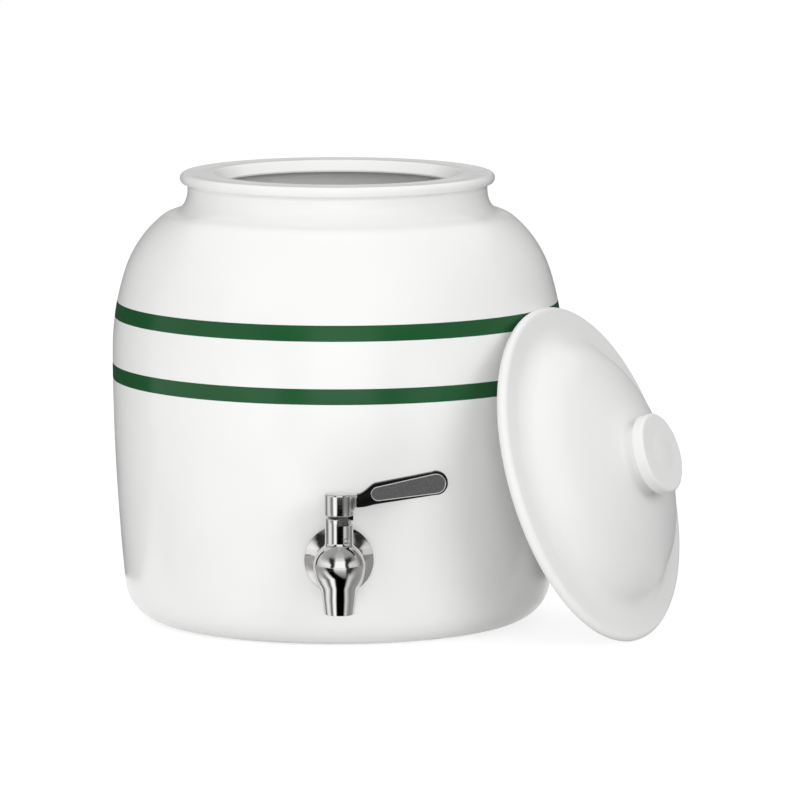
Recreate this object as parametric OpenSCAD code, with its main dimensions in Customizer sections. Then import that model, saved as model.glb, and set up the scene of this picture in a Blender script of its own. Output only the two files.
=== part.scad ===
// Countertop water dispenser: a glazed porcelain crock with two fired-on bands, a loose knobbed lid
// that leans against it, and a quarter-turn lever tap.
// Millimetres. +Z is up, the crock's axis is the Z axis, it stands on Z = 0 and the tap faces -Y.

/* [Crock] */
// Widest diameter of the crock
belly_d = 270; // [256:1:284]
// Height of the widest ring
belly_z = 162; // [150:1:172]
// Radius of the long curve of the lower wall, seen from the side
wall_arc = 1375; // [1000:25:2000]
// Radius of the rounded bottom edge
base_round = 24; // [18:1:30]
// Radius of the lower shoulder curve
shoulder_r = 156; // [140:1:170]
// Angle over which the lower shoulder curve runs
shoulder_angle = 18; // [14:1:22]
// Radius of the upper shoulder curve
shoulder_top_r = 68; // [60:1:74]
// Outside diameter of the neck
neck_d = 178; // [172:1:184]
// Radius of the hollow curve from the shoulder into the neck
neck_round = 7; // [5:0.5:10]
// Upright length of the neck under the rim
neck_h = 5; // [3:0.2:7]
// Outside diameter of the rolled rim
rim_d = 188.6; // [185:0.2:200]
// Thickness of the rolled rim
rim_t = 7.2; // [6.6:0.2:9]
// Mouth diameter at the top edge
mouth_d = 148; // [140:1:156]
// Diameter of the throat that steadies the bottle neck
throat_d = 137; // [130:1:139]
// Depth of the sloping mouth above the throat
throat_depth = 4; // [4:0.2:5]
// Length of the straight throat
throat_h = 3; // [2.5:0.5:6]
// Rounding of the mouth's upper edge
lip_round = 2; // [1:0.5:3]
// Thickness of the porcelain wall
wall_t = 8; // [6:0.5:10]
// Thickness of the crock's floor
floor_t = 10; // [8:0.5:14]

/* [Bands] */
// Width of each glaze band
band_w = 9.3; // [6:0.1:14]
// Depth of the glaze band in the surface
band_t = 0.4; // [0.3:0.1:0.8]
// Height of the upper band's middle
upper_band_z = 187.3; // [178:0.1:196]
// Height of the lower band's middle
lower_band_z = 150.4; // [130:0.1:162]

/* [Lid] */
// Outside diameter of the lid
lid_d = 204; // [198:1:212]
// Thickness of the lid's rounded edge
lid_edge_t = 7; // [5.5:0.5:8]
// Radius of the upper part of the lid's dome
dome_r = 150; // [140:1:160]
// Height of the dome's crown above the seat
dome_h = 40; // [38:0.5:42]
// Radius of the dome's steeper side
dome_side_r = 40; // [35:1:46]
// Slope at which the dome passes into its side
dome_side_angle = 24; // [21:1:27]
// Radius of the hollow curve from the flat border into the dome
border_round = 14; // [10:1:18]
// Thickness of the dome at its crown
dome_t = 7; // [5:0.5:9]
// Inside diameter of the flat seat under the lid
lid_seat_d = 168; // [160:1:176]
// Depth of the locating collar below the seat
collar_depth = 2; // [1.6:0.1:2.2]
// Wall of the locating collar
collar_w = 5; // [4:0.5:7]
// Play between the collar and the mouth
collar_play = 2.2; // [1:0.1:4]
// Diameter of the knob
knob_d = 48; // [44:1:54]
// Thickness of the knob's disc
knob_t = 8.5; // [7:0.5:12]
// Diameter of the knob's neck
knob_neck_d = 36; // [30:1:38]
// Radius of the curve from the dome into the knob's neck
knob_flare = 7; // [5:0.5:7.5]
// Length of the neck above that curve
knob_neck_h = 0.5; // [0.5:0.5:4]
// Radius of the knob's edges
knob_edge = 1.8; // [1:0.1:3]
// Tilt of the leaning lid's axis from upright
lid_lean = 71.5; // [70:0.5:76]
// Bearing of the leaning lid around the crock
lid_bearing = -27.5; // [-32:0.5:-15]
// Play where the leaning lid meets the crock
lid_play = 0.3; // [0.2:0.1:1]

/* [Tap body] */
// Height of the tap's inlet
tap_z = 54.5; // [50:0.5:62]
// Distance from the crock's wall to the valve axis
tap_reach = 28.7; // [27:0.1:36]
// Outside diameter of the valve barrel
barrel_d = 16.4; // [16:0.1:17]
// Height of the barrel's top above the inlet
barrel_h = 28.7; // [28.6:0.1:31]
// Diameter of the bulb
bulb_d = 30.2; // [29:0.2:34]
// Radius of the curve from barrel into bulb
bulb_fillet = 3; // [2:0.1:3.4]
// Radius of the long curve on the bulb's lower half
bulb_drop_r = 24; // [22:0.5:28]
// Depth of the spout's outlet below the inlet
spout_drop = 28; // [26:0.5:34]
// Outside diameter of the outlet
outlet_d = 17.1; // [16.6:0.1:18]
// Angle by which the spout's side widens upwards
spout_taper = 5.7; // [3:0.1:9]
// Radius of the crease between bulb and spout
spout_crease = 2.5; // [1:0.1:4]
// Bore of the outlet
outlet_bore_d = 13.8; // [12:0.1:14]
// Length of the outlet bore
outlet_bore_h = 13.5; // [10:0.5:14]
// Bore between the valve and the outlet
port_d = 11.2; // [9:0.1:11.6]
// Diameter of the neck between bulb and escutcheon
inlet_neck_d = 21.2; // [20:0.2:22]
// Depth of the stop notch in the barrel's top
notch_depth = 4.1; // [3.6:0.1:4.2]

/* [Tap fixing] */
// Diameter of the escutcheon
escutcheon_d = 40.6; // [36:0.2:46]
// Height of the escutcheon at its middle
escutcheon_h = 4.9; // [4:0.1:5.4]
// Thickness of the escutcheon's edge
escutcheon_edge = 1.3; // [0.8:0.1:2]
// Radius of the escutcheon's dome
escutcheon_dome_r = 42; // [40:1:60]
// Outside diameter of the threaded shank
shank_d = 15.8; // [15:0.1:16.4]
// Bore of the shank
shank_bore_d = 9.2; // [7:0.1:10]
// Depth of the shank's socket in the tap
socket_depth = 8; // [6:0.5:9]
// Length of shank left beyond the nut
shank_end = 4; // [2:0.5:8]
// Play of the shank in the crock's hole
hole_play = 0.6; // [0.3:0.1:1]
// Diameter of the outer gasket
outer_gasket_d = 36; // [30:0.5:38]
// Thickness of the outer gasket on the valve's centre line
outer_gasket_t = 3; // [2.6:0.1:4]
// Diameter of the inner gasket and the flat washer
inner_gasket_d = 29; // [27:0.5:34]
// Thickness of the inner gasket on the valve's centre line
inner_gasket_t = 3; // [2.6:0.1:4]
// Thickness of the flat washer
washer_t = 1.6; // [1:0.1:2.5]
// Width of the lock nut across its flats
nut_flats = 24; // [22:0.5:27]
// Thickness of the lock nut
nut_t = 6.5; // [5:0.5:9]
// Gap between the inner gasket's face and the crock's inside
gasket_gap = 0.15; // [0.15:0.05:0.3]
// Play of the washers and the nut on the shank
thread_play = 0.1; // [0.05:0.05:0.2]

/* [Valve] */
// Diameter of the valve bore
valve_bore_d = 12.4; // [12.2:0.1:12.6]
// Running clearance between stem and bore, on the radius
running_fit = 0.05; // [0.02:0.01:0.1]
// Height of the plug's foot below the inlet
plug_drop = 8.5; // [7.5:0.1:9.5]
// Clearance under the plug
plug_play = 0.4; // [0.3:0.1:0.8]
// Diameter of the water way through the plug and its seat
water_d = 7.2; // [6:0.1:7.4]
// Diameter of the seat ring that faces the plug
seat_d = 12; // [11:0.1:13]
// Diameter of the stem seen in the notch
stem_d = 10.8; // [10:0.1:11]
// Diameter of the stem's drive end
drive_d = 8.8; // [8:0.1:9]
// Length of the drive end in the hub
drive_h = 9.4; // [8:0.1:10]
// Distance from the axis to the drive end's flat
drive_flat = 3.4; // [3:0.1:3.8]
// Thickness of each O-ring
o_ring_t = 1.5; // [1.4:0.1:1.6]
// Side play of an O-ring in its groove
o_ring_play = 0.4; // [0.2:0.1:0.5]
// Spacing of the two O-rings
o_ring_pitch = 3; // [2.8:0.1:3.1]
// Height of the lower O-ring above the inlet
o_ring_z = 19.5; // [19.3:0.1:19.7]
// Height of the retaining pin above the inlet
pin_z = 15.9; // [15.7:0.1:16]
// Bearing of the retaining pin around the barrel
pin_bearing = -60; // [-80:1:-40]
// Diameter of the retaining pin
pin_d = 2.2; // [1.8:0.1:2.4]
// Diameter of the retaining pin's head
pin_head_d = 3.3; // [3:0.1:3.6]
// Height of the retaining pin's head
pin_head_h = 1.4; // [1:0.1:1.5]
// Depth of the flat seat for the pin's head
pin_seat = 0.3; // [0.25:0.05:0.5]
// Clearance round the pin in the stem's groove
pin_play = 0.4; // [0.3:0.1:0.5]

/* [Lever] */
// Diameter of the lever's hub
hub_d = 17.3; // [17:0.1:18.4]
// Height of the hub
hub_h = 13.1; // [12.5:0.1:16]
// Gap between the barrel and the hub
hub_gap = 1.4; // [0.8:0.1:2]
// Chamfer on the hub's edges
hub_chamfer = 0.7; // [0.3:0.1:1]
// Distance from the valve axis to the end of the hub's arm
arm_reach = 10.3; // [9.5:0.1:12]
// Height of the hub's arm and of the grip's root
arm_h = 7.5; // [6.5:0.1:8.4]
// Width of the hub's arm and of the grip's root
arm_w = 7; // [6:0.1:8]
// Depth of the stop tab below the hub
tab_h = 3; // [2.6:0.1:3.6]
// Angle that the stop tab spans
tab_span = 30; // [24:1:36]
// Bearing of the stop tab's middle around the hub
tab_middle = 13; // [8:1:15]
// Step of the stop tab outside the valve bore
tab_play = 0.1; // [0.05:0.05:0.4]
// Angle that the lever turns
lever_turn = 90; // [80:1:100]
// Angle of play at each end of the notch
notch_play = 2.5; // [2:0.1:4]
// Distance from the valve axis to the lever's tip
lever_len = 63.1; // [60:0.1:76]
// Distance from the valve axis to the grip's heel
heel_reach = 22.6; // [21:0.1:24]
// Height of the grip at its heel
heel_h = 12.7; // [11.5:0.1:14]
// Height of the grip at its tip
tip_h = 14; // [12.5:0.1:16]
// Height of the grip's heel above the middle of the arm
heel_lift = 4.4; // [3.5:0.1:5.2]
// Rise of the grip towards its tip
grip_rise = 10; // [6:0.5:14]
// Thickness of the grip
grip_t = 8.4; // [7.6:0.1:10]
// Rounding of the grip's edges
grip_round = 2.6; // [1.5:0.1:3]
// Length of the steel tang inside the grip
tang_len = 30; // [20:1:34]
// Height of the tang
tang_h = 4.4; // [3.5:0.1:5]
// Thickness of the tang
tang_t = 3; // [2:0.1:3.6]
// Play of the tang in the grip
tang_play = 0.1; // [0.05:0.05:0.2]
// Height of the inlay at the grip's heel
inlay_heel_h = 7.4; // [6:0.1:8.4]
// Height of the inlay at the grip's tip
inlay_tip_h = 10.7; // [9:0.1:11]
// Depth of the inlay's pocket
inlay_t = 0.9; // [0.6:0.1:1.2]
// Diameter of the hub's set screw
set_screw_d = 3; // [2.5:0.1:3.5]

/* [Hidden] */
$fa = 3;
$fs = 0.5;
turn_fn = 120;
arc_fn = 720;
hull_fn = 32;
past = 1;
// Largest distance between a profile's straight steps and its true curve
step_error = 0.03;

// Crock: radii and the centres of its tangent curves
belly_r = belly_d / 2;
neck_r = neck_d / 2;
wide = belly_d;
wall_c = [belly_r - wall_arc, belly_z];
corner_c = [wall_c[0] + sqrt(pow(wall_arc - base_round, 2) - pow(belly_z - base_round, 2)), base_round];
corner_angle = atan2(corner_c[1] - wall_c[1], corner_c[0] - wall_c[0]);
shoulder_c = [belly_r - shoulder_r, belly_z];
top_c = shoulder_c + (shoulder_r - shoulder_top_r) * [cos(shoulder_angle), sin(shoulder_angle)];
top_angle = acos((neck_r + neck_round - top_c[0]) / (shoulder_top_r + neck_round));
neck_c = top_c + (shoulder_top_r + neck_round) * [cos(top_angle), sin(top_angle)];
rim_z = neck_c[1] + neck_h;
crock_h = rim_z + rim_t;
mouth_r = mouth_d / 2;
throat_r = throat_d / 2;
throat_top = crock_h - throat_depth;
throat_z = throat_top - throat_h;

// Radius of the lower wall at a height, set in from the outside
function wall_r(z, inset = 0) = wall_c[0] + sqrt(pow(wall_arc - inset, 2) - pow(belly_z - z, 2));

// Lid: its own shape, with the seat at zero height
lid_r = lid_d / 2;
edge_r = lid_edge_t / 2;
edge_c = [lid_r - edge_r, edge_r];
dome_c = [0, dome_h - dome_r];
side_c = dome_c + (dome_r - dome_side_r) * [sin(dome_side_angle), cos(dome_side_angle)];
border_rise = lid_edge_t + border_round - side_c[1];
border_run = sqrt(pow(dome_side_r + border_round, 2) - border_rise * border_rise);
border_c = side_c + [border_run, border_rise];
border_angle = atan2(border_rise, border_run);
crown_z = dome_h - dome_t;
seat_r = lid_seat_d / 2;
inner_dome_r = (seat_r * seat_r + crown_z * crown_z) / (2 * crown_z);
inner_dome_z = crown_z - inner_dome_r;
collar_r = mouth_r - (mouth_r - throat_r) * collar_depth / throat_depth - collar_play;
collar_top = inner_dome_z + sqrt(pow(inner_dome_r, 2) - pow(collar_r - collar_w, 2)) + dome_t / 2;
flare_r = knob_neck_d / 2 + knob_flare;
flare_c = [flare_r, dome_c[1] + sqrt(pow(dome_r + knob_flare, 2) - flare_r * flare_r)];
flare_angle = atan2(flare_c[1] - dome_c[1], flare_c[0]);
knob_z = flare_c[1] + knob_neck_h;

// Lid: its lean, standing on its edge with the top edge against the shoulder
lid_c_z = (lid_r - edge_r) * sin(lid_lean) - edge_r * cos(lid_lean) + edge_r;
lean_top_z = lid_c_z + (lid_r - edge_r) * sin(lid_lean) + edge_r * cos(lid_lean);
lean_reach = shoulder_r + edge_r + lid_play;
lean_top_r = shoulder_c[0] + sqrt(pow(lean_reach, 2) - pow(lean_top_z - belly_z, 2));
lid_c_r = lean_top_r + (lid_r - edge_r) * cos(lid_lean) - edge_r * sin(lid_lean);

// Tap: places along -Y, counted from the crock's axis
tap_wall = wall_r(tap_z);
tap_inner_wall = wall_r(tap_z, wall_t);
valve_y = tap_wall + tap_reach;
escutcheon_y = tap_wall + outer_gasket_t;
neck_y = escutcheon_y + escutcheon_h;
socket_y = neck_y + socket_depth;
washer_y = tap_inner_wall - inner_gasket_t;
nut_y = washer_y - washer_t;
shank_y = nut_y - nut_t - shank_end;
shank_r = shank_d / 2;

// Tap: radii and heights above the inlet
barrel_r = barrel_d / 2;
bulb_r = bulb_d / 2;
fillet_r = barrel_r + bulb_fillet;
fillet_z = sqrt(pow(bulb_r + bulb_fillet, 2) - fillet_r * fillet_r);
fillet_angle = atan2(fillet_z, fillet_r);
drop_c = [bulb_r - bulb_drop_r, 0];
spout_side = [sin(spout_taper), cos(spout_taper)];
crease_foot = [outlet_d / 2, -spout_drop] + spout_crease * [spout_side[1], -spout_side[0]] - drop_c;
crease_along = crease_foot * spout_side;
crease_reach = pow(bulb_drop_r + spout_crease, 2) - crease_foot * crease_foot;
crease_c = drop_c + crease_foot - (crease_along + sqrt(crease_along * crease_along + crease_reach)) * spout_side;
crease_angle = atan2(crease_c[1], crease_c[0] - drop_c[0]);
bore_r = valve_bore_d / 2;
plug_r = bore_r - running_fit;
bore_foot = -plug_drop - plug_play;
notch_z = barrel_h - notch_depth;
hub_z = barrel_h + hub_gap;
tab_r = bore_r + tab_play;
notch_from = tab_middle - tab_span / 2 - lever_turn - notch_play;
notch_to = tab_middle + tab_span / 2 + notch_play;

// Stem and its grooves
ring_r = o_ring_t / 2;
groove_w = o_ring_t + o_ring_play;
groove_r = plug_r - o_ring_t;
pin_groove_w = pin_d + 2 * pin_play;
pin_tip = groove_r + pin_play;
pin_seat_r = barrel_r - pin_seat;
stem_foot = notch_z - plug_play;

// Lever
arm_z = hub_z + hub_h - hub_chamfer - arm_h / 2;
heel_z = arm_z + heel_lift;
tip_reach = lever_len - tip_h / 2;
tip_z = heel_z + (tip_reach - heel_reach) * tan(grip_rise);
tang_rise = atan2(heel_z + (tip_reach - heel_reach) / 2 * tan(grip_rise) - arm_z,
                  (heel_reach + tip_reach) / 2 - arm_reach);

porcelain = [0.96, 0.96, 0.94];
green_glaze = [0.2, 0.38, 0.24];
polished_steel = [0.78, 0.78, 0.78];
seal_grey = [0.75, 0.75, 0.73];
seat_white = [0.9, 0.9, 0.88];
black_rubber = [0.08, 0.08, 0.08];
grip_black = [0.05, 0.05, 0.05];
satin_grey = [0.36, 0.36, 0.36];

// The part of a disc with centre c that lies between two heights, on the outer side of the axis
module lens(c, r, z0, z1) {
    intersection() {
        translate(c) circle(r = r, $fn = arc_fn);
        translate([0, z0]) square([wide, z1 - z0]);
    }
}

// A point on a circle round c
function on_arc(c, r, angle) = c + r * [cos(angle), sin(angle)];

// Points along an arc round c, without its first point
function arc_points(c, r, from, to) =
    let (steps = ceil(abs(to - from) / (2 * acos(1 - step_error / r))))
    [for (i = [1 : steps]) on_arc(c, r, from + (to - from) * i / steps)];

// Half outline of the crock below its rim, set in from the outside: rounded bottom edge, long wall,
// lower and upper shoulder, and the hollow curve into the neck
module crock_outline(inset = 0) {
    polygon(concat(
        [[0, inset], [corner_c[0], inset]],
        arc_points(corner_c, base_round - inset, -90, corner_angle),
        arc_points(wall_c, wall_arc - inset, corner_angle, 0),
        arc_points(shoulder_c, shoulder_r - inset, 0, shoulder_angle),
        arc_points(top_c, shoulder_top_r - inset, shoulder_angle, top_angle),
        arc_points(neck_c, neck_round + inset, 180 + top_angle, 180),
        [[neck_r - inset, crock_h - past], [0, crock_h - past]]));
}

// Half outline of the rolled rim, with a full round edge
module rim_outline() {
    round_r = rim_t / 2;
    translate([0, rim_z]) square([rim_d / 2 - round_r, rim_t]);
    lens([rim_d / 2 - round_r, rim_z + round_r], round_r, rim_z - past, crock_h + past);
}

// Half outline of the space inside the crock, with its throat and sloping mouth
module crock_space() {
    intersection() {
        crock_outline(wall_t);
        translate([0, floor_t]) square([wide, throat_z - floor_t]);
    }
    translate([0, throat_z]) square([throat_r, throat_h]);
    slope = atan2(throat_depth, mouth_r - throat_r);
    lip_c = [mouth_r + lip_round * tan(slope / 2), crock_h - lip_round];
    polygon(concat(
        [[0, throat_top], [throat_r, throat_top], on_arc(lip_c, lip_round, 90 + slope)],
        arc_points(lip_c, lip_round, 90 + slope, 90),
        [[lip_c[0], crock_h + past], [0, crock_h + past]]));
}

// Half outline of everything outside a band's depth, over the band's height
module band_cut(z) {
    difference() {
        translate([0, z - band_w / 2]) square([wide, band_w]);
        crock_outline(band_t);
    }
}

module crock() {
    color(porcelain) difference() {
        rotate_extrude($fn = turn_fn) difference() {
            union() {
                crock_outline();
                rim_outline();
            }
            crock_space();
            band_cut(upper_band_z);
            band_cut(lower_band_z);
        }
        inlet_rod(shank_d + 2 * hole_play, tap_wall + wall_t, tap_inner_wall - wall_t);
    }
}

// A glaze band that fills its groove flush with the wall
module glaze_band(z) {
    color(green_glaze) rotate_extrude($fn = turn_fn) intersection() {
        crock_outline();
        band_cut(z);
    }
}

module upper_band() {
    glaze_band(upper_band_z);
}

module lower_band() {
    glaze_band(lower_band_z);
}

// Half outline of the lid's upper side: rounded edge, flat border, hollow curve, dome with its steeper
// side, flared neck and knob
module lid_outline() {
    knob_r = knob_d / 2;
    knob_low = [knob_r - knob_edge, knob_z + knob_edge];
    knob_high = [knob_r - knob_edge, knob_z + knob_t - knob_edge];
    polygon(concat(
        [[0, 0], [edge_c[0], 0]],
        arc_points(edge_c, edge_r, -90, 90),
        [[border_c[0], lid_edge_t]],
        arc_points(border_c, border_round, 270, 180 + border_angle),
        arc_points(side_c, dome_side_r, border_angle, 90 - dome_side_angle),
        arc_points(dome_c, dome_r, 90 - dome_side_angle, flare_angle),
        arc_points(flare_c, knob_flare, 180 + flare_angle, 180),
        [[knob_neck_d / 2, knob_z], [knob_low[0], knob_z]],
        arc_points(knob_low, knob_edge, -90, 0),
        [[knob_r, knob_high[1]]],
        arc_points(knob_high, knob_edge, 0, 90),
        [[0, knob_z + knob_t]]));
}

// The lid seat down, before it is leaned
module lid_upright() {
    rotate_extrude($fn = turn_fn) {
        difference() {
            lid_outline();
            lens([0, inner_dome_z], inner_dome_r, -past, dome_h);
        }
        translate([collar_r - collar_w, -collar_depth]) square([collar_w, collar_depth + collar_top]);
    }
}

module lid() {
    color(porcelain)
        rotate([0, 0, lid_bearing])
        translate([lid_c_r, 0, lid_c_z])
        rotate([0, lid_lean, 0])
        lid_upright();
}

// Puts children on the inlet's axis at a distance in front of the crock's axis, pointing to the front
module at_inlet(y) {
    translate([0, -y, tap_z]) rotate([90, 0, 0]) children();
}

// A round rod on the inlet's axis between two distances in front of the crock's axis
module inlet_rod(d, y_far, y_near) {
    at_inlet(y_near) cylinder(d = d, h = y_far - y_near);
}

// Puts children on the valve's axis, level with the inlet
module at_valve() {
    translate([0, -valve_y, tap_z]) children();
}

// Half outline of the spout, its crease, the bulb, the hollow curve above it and the barrel
module tap_outline() {
    crease_low = on_arc(crease_c, spout_crease, 180 - spout_taper);
    crease_high = on_arc(crease_c, spout_crease, 180 + crease_angle);
    fillet_foot = on_arc([0, 0], bulb_r, fillet_angle);
    difference() {
        union() {
            polygon([[0, -spout_drop], [outlet_d / 2, -spout_drop], crease_low, crease_high, [bulb_r, 0],
                     fillet_foot, [barrel_r, fillet_z], [barrel_r, barrel_h], [0, barrel_h]]);
            lens(drop_c, bulb_drop_r, crease_high[1], 0);
            lens([0, 0], bulb_r, 0, fillet_foot[1]);
        }
        lens([fillet_r, fillet_z], bulb_fillet, fillet_foot[1], fillet_z);
        lens(crease_c, spout_crease, crease_low[1], crease_high[1]);
    }
}

// Half outline of the valve bore, the port below it and the outlet
module tap_bores() {
    translate([0, bore_foot]) square([bore_r, barrel_h - bore_foot + past]);
    translate([0, -spout_drop]) square([port_d / 2, spout_drop + bore_foot]);
    translate([0, -spout_drop - past]) square([outlet_bore_d / 2, outlet_bore_h + past]);
}

// The slot that the stop tab runs in
module stop_notch() {
    translate([0, 0, notch_z])
        rotate_extrude(angle = notch_to - notch_from, start = notch_from, $fn = turn_fn)
        square([barrel_r + past, notch_depth + past]);
}

// The pin's hole and the flat seat for its head
module pin_hole() {
    at_pin() {
        cylinder(d = pin_d + 2 * thread_play, h = barrel_r);
        translate([0, 0, pin_seat_r]) cylinder(d = pin_head_d + 2 * thread_play, h = barrel_r);
    }
}

// Puts children on the pin's axis, pointing out of the barrel
module at_pin() {
    translate([0, 0, pin_z]) rotate([0, 90, pin_bearing]) children();
}

module faucet_body() {
    color(polished_steel) difference() {
        union() {
            at_valve() rotate_extrude($fn = turn_fn) difference() {
                tap_outline();
                tap_bores();
            }
            difference() {
                inlet_rod(inlet_neck_d, valve_y, neck_y);
                at_valve() translate([0, 0, bore_foot]) cylinder(r = bore_r, h = barrel_h - bore_foot);
            }
        }
        inlet_rod(shank_d, socket_y, neck_y - past);
        inlet_rod(seat_d, valve_y, socket_y - past);
        at_valve() {
            stop_notch();
            pin_hole();
        }
    }
}

module threaded_shank() {
    color(polished_steel) difference() {
        inlet_rod(shank_d, socket_y, shank_y);
        inlet_rod(shank_bore_d, socket_y + past, shank_y - past);
    }
}

module escutcheon() {
    dome_c = escutcheon_edge - sqrt(pow(escutcheon_dome_r, 2) - pow(escutcheon_d / 2, 2));
    color(polished_steel)
        at_inlet(escutcheon_y)
        rotate_extrude($fn = turn_fn)
        difference() {
            intersection() {
                translate([0, dome_c]) circle(r = escutcheon_dome_r, $fn = arc_fn);
                square([escutcheon_d / 2, escutcheon_h]);
            }
            translate([0, -past]) square([shank_d / 2 + thread_play, escutcheon_h + 2 * past]);
        }
}

// A cone round the crock's axis that touches the set-in wall at the tap's height
module wall_cone(inset, reach) {
    r = wall_r(tap_z, inset);
    slope = (belly_z - tap_z) / sqrt(pow(wall_arc - inset, 2) - pow(belly_z - tap_z, 2));
    translate([0, 0, tap_z - reach])
        cylinder(r1 = r - slope * reach, r2 = r + slope * reach, h = 2 * reach, $fn = arc_fn);
}

// A ring round the shank between two distances in front of the crock's axis
module shank_ring(d, y_far, y_near) {
    difference() {
        inlet_rod(d, y_far, y_near);
        inlet_rod(shank_d + 2 * thread_play, y_far + past, y_near - past);
    }
}

module outer_gasket() {
    color(seal_grey) difference() {
        shank_ring(outer_gasket_d, escutcheon_y, tap_inner_wall);
        wall_cone(0, outer_gasket_d / 2 + past);
    }
}

module inner_gasket() {
    color(seal_grey) intersection() {
        shank_ring(inner_gasket_d, tap_wall, washer_y);
        wall_cone(wall_t + gasket_gap, inner_gasket_d / 2 + past);
    }
}

module flat_washer() {
    color(polished_steel) shank_ring(inner_gasket_d, washer_y, nut_y);
}

module lock_nut() {
    color(polished_steel) difference() {
        at_inlet(nut_y - nut_t) rotate([0, 0, 30]) cylinder(d = nut_flats / cos(30), h = nut_t, $fn = 6);
        inlet_rod(shank_d + 2 * thread_play, nut_y + past, nut_y - nut_t - past);
    }
}

module inlet_seat() {
    color(seat_white) difference() {
        inlet_rod(seat_d, valve_y, socket_y);
        inlet_rod(water_d, valve_y + past, socket_y - past);
        at_valve() translate([0, 0, -bulb_r]) cylinder(r = bore_r, h = bulb_d);
    }
}

module retaining_pin() {
    color(polished_steel) at_valve() at_pin() {
        translate([0, 0, pin_tip]) cylinder(d = pin_d, h = pin_seat_r - pin_tip);
        translate([0, 0, pin_seat_r]) pin_head();
    }
}

// A low domed head, its flat face down
module pin_head() {
    dome = (pow(pin_head_d / 2, 2) + pin_head_h * pin_head_h) / (2 * pin_head_h);
    rotate_extrude($fn = turn_fn) intersection() {
        translate([0, pin_head_h - dome]) circle(r = dome, $fn = arc_fn);
        square([pin_head_d, pin_head_h]);
    }
}

// A groove round the stem
module stem_groove(z, w, r) {
    translate([r, z - w / 2]) square([plug_r, w]);
}

module valve_stem() {
    color(polished_steel) at_valve() difference() {
        rotate_extrude($fn = turn_fn) difference() {
            union() {
                translate([0, -plug_drop]) square([plug_r, plug_drop + stem_foot]);
                translate([0, stem_foot]) square([stem_d / 2, hub_z - stem_foot]);
                translate([0, hub_z]) square([drive_d / 2, drive_h]);
            }
            translate([0, -plug_drop - past]) square([water_d / 2, plug_drop + water_d / 2 + past]);
            stem_groove(pin_z, pin_groove_w, groove_r);
            for (i = [0, 1]) stem_groove(o_ring_z + i * o_ring_pitch, groove_w, groove_r);
        }
        rotate([0, -90, 0]) cylinder(d = water_d, h = bulb_r);
        translate([-drive_d, drive_flat, hub_z]) cube([2 * drive_d, drive_d, drive_h + past]);
    }
}

// A ring of round section in its groove
module o_ring(z) {
    color(black_rubber) at_valve() translate([0, 0, z])
        rotate_extrude($fn = turn_fn)
        translate([plug_r - ring_r, 0])
        circle(r = ring_r);
}

module lower_o_ring() {
    o_ring(o_ring_z);
}

module upper_o_ring() {
    o_ring(o_ring_z + o_ring_pitch);
}

// The hub's outline, chamfered at both ends
module hub_outline() {
    r = hub_d / 2;
    polygon([[0, 0], [r - hub_chamfer, 0], [r, hub_chamfer], [r, hub_h - hub_chamfer],
             [r - hub_chamfer, hub_h], [0, hub_h]]);
}

// The arm from the hub to the grip's root, with a hollow curve under it
module hub_arm() {
    foot = arm_z - arm_h / 2;
    curve_r = arm_reach - hub_d / 2;
    rotate([90, 0, 0]) linear_extrude(arm_w, center = true) polygon(concat(
        [[0, foot + arm_h], [0, foot - curve_r], [hub_d / 2, foot - curve_r]],
        arc_points([arm_reach, foot - curve_r], curve_r, 180, 90),
        [[arm_reach, foot + arm_h]]));
}

// The steel bar that carries the grip
module tang(play = 0) {
    translate([arm_reach, 0, arm_z])
        rotate([0, -tang_rise, 0])
        translate([-tang_h, -tang_t / 2 - play, -tang_h / 2 - play])
        cube([tang_len + tang_h + play, tang_t + 2 * play, tang_h + 2 * play]);
}

// The tab that runs in the barrel's notch
module stop_tab() {
    translate([0, 0, hub_z - tab_h])
        rotate_extrude(angle = tab_span, start = tab_middle - tab_span / 2, $fn = turn_fn)
        translate([tab_r, 0])
        square([barrel_r - tab_r, tab_h + hub_chamfer]);
}

module lever_hub() {
    color(polished_steel) at_valve() difference() {
        union() {
            translate([0, 0, hub_z]) rotate_extrude($fn = turn_fn) hub_outline();
            hub_arm();
            tang();
            stop_tab();
        }
        difference() {
            translate([0, 0, hub_z - past]) cylinder(d = drive_d, h = drive_h + past);
            translate([-hub_d, drive_flat, hub_z - 2 * past]) cube([2 * hub_d, hub_d, hub_h]);
        }
        set_screw_hole() cylinder(d = set_screw_d, h = hub_d);
    }
}

// Puts children on the set screw's axis, starting at the stem's flat and pointing to the back
module set_screw_hole() {
    translate([0, drive_flat, hub_z + drive_h / 2]) rotate([-90, 0, 0]) children();
}

module hub_set_screw() {
    screw_len = hub_d / 2 - hub_chamfer - drive_flat;
    color(satin_grey) at_valve() set_screw_hole() difference() {
        cylinder(d = set_screw_d, h = screw_len);
        translate([0, 0, screw_len / 2]) cylinder(d = set_screw_d / 2, h = screw_len, $fn = 6);
    }
}

// A disc with rounded edges, standing on edge across the lever
module grip_disc(x, z, h) {
    translate([x, 0, z]) rotate([90, 0, 0]) for (s = [-1, 1])
        translate([0, 0, s * (grip_t / 2 - grip_round)])
        rotate_extrude($fn = hull_fn)
        translate([h / 2 - grip_round, 0])
        circle(r = grip_round, $fn = hull_fn);
}

// The grip's full form, before it is hollowed for the tang and the inlays
module grip_form() {
    root_l = arm_w / 4;
    hull() {
        grip_disc(heel_reach, heel_z, heel_h);
        grip_disc(tip_reach, tip_z, tip_h);
    }
    hull() {
        grip_disc(heel_reach, heel_z, heel_h);
        translate([arm_reach, -arm_w / 2, arm_z - arm_h / 2]) cube([root_l, arm_w, arm_h]);
    }
}

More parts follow.
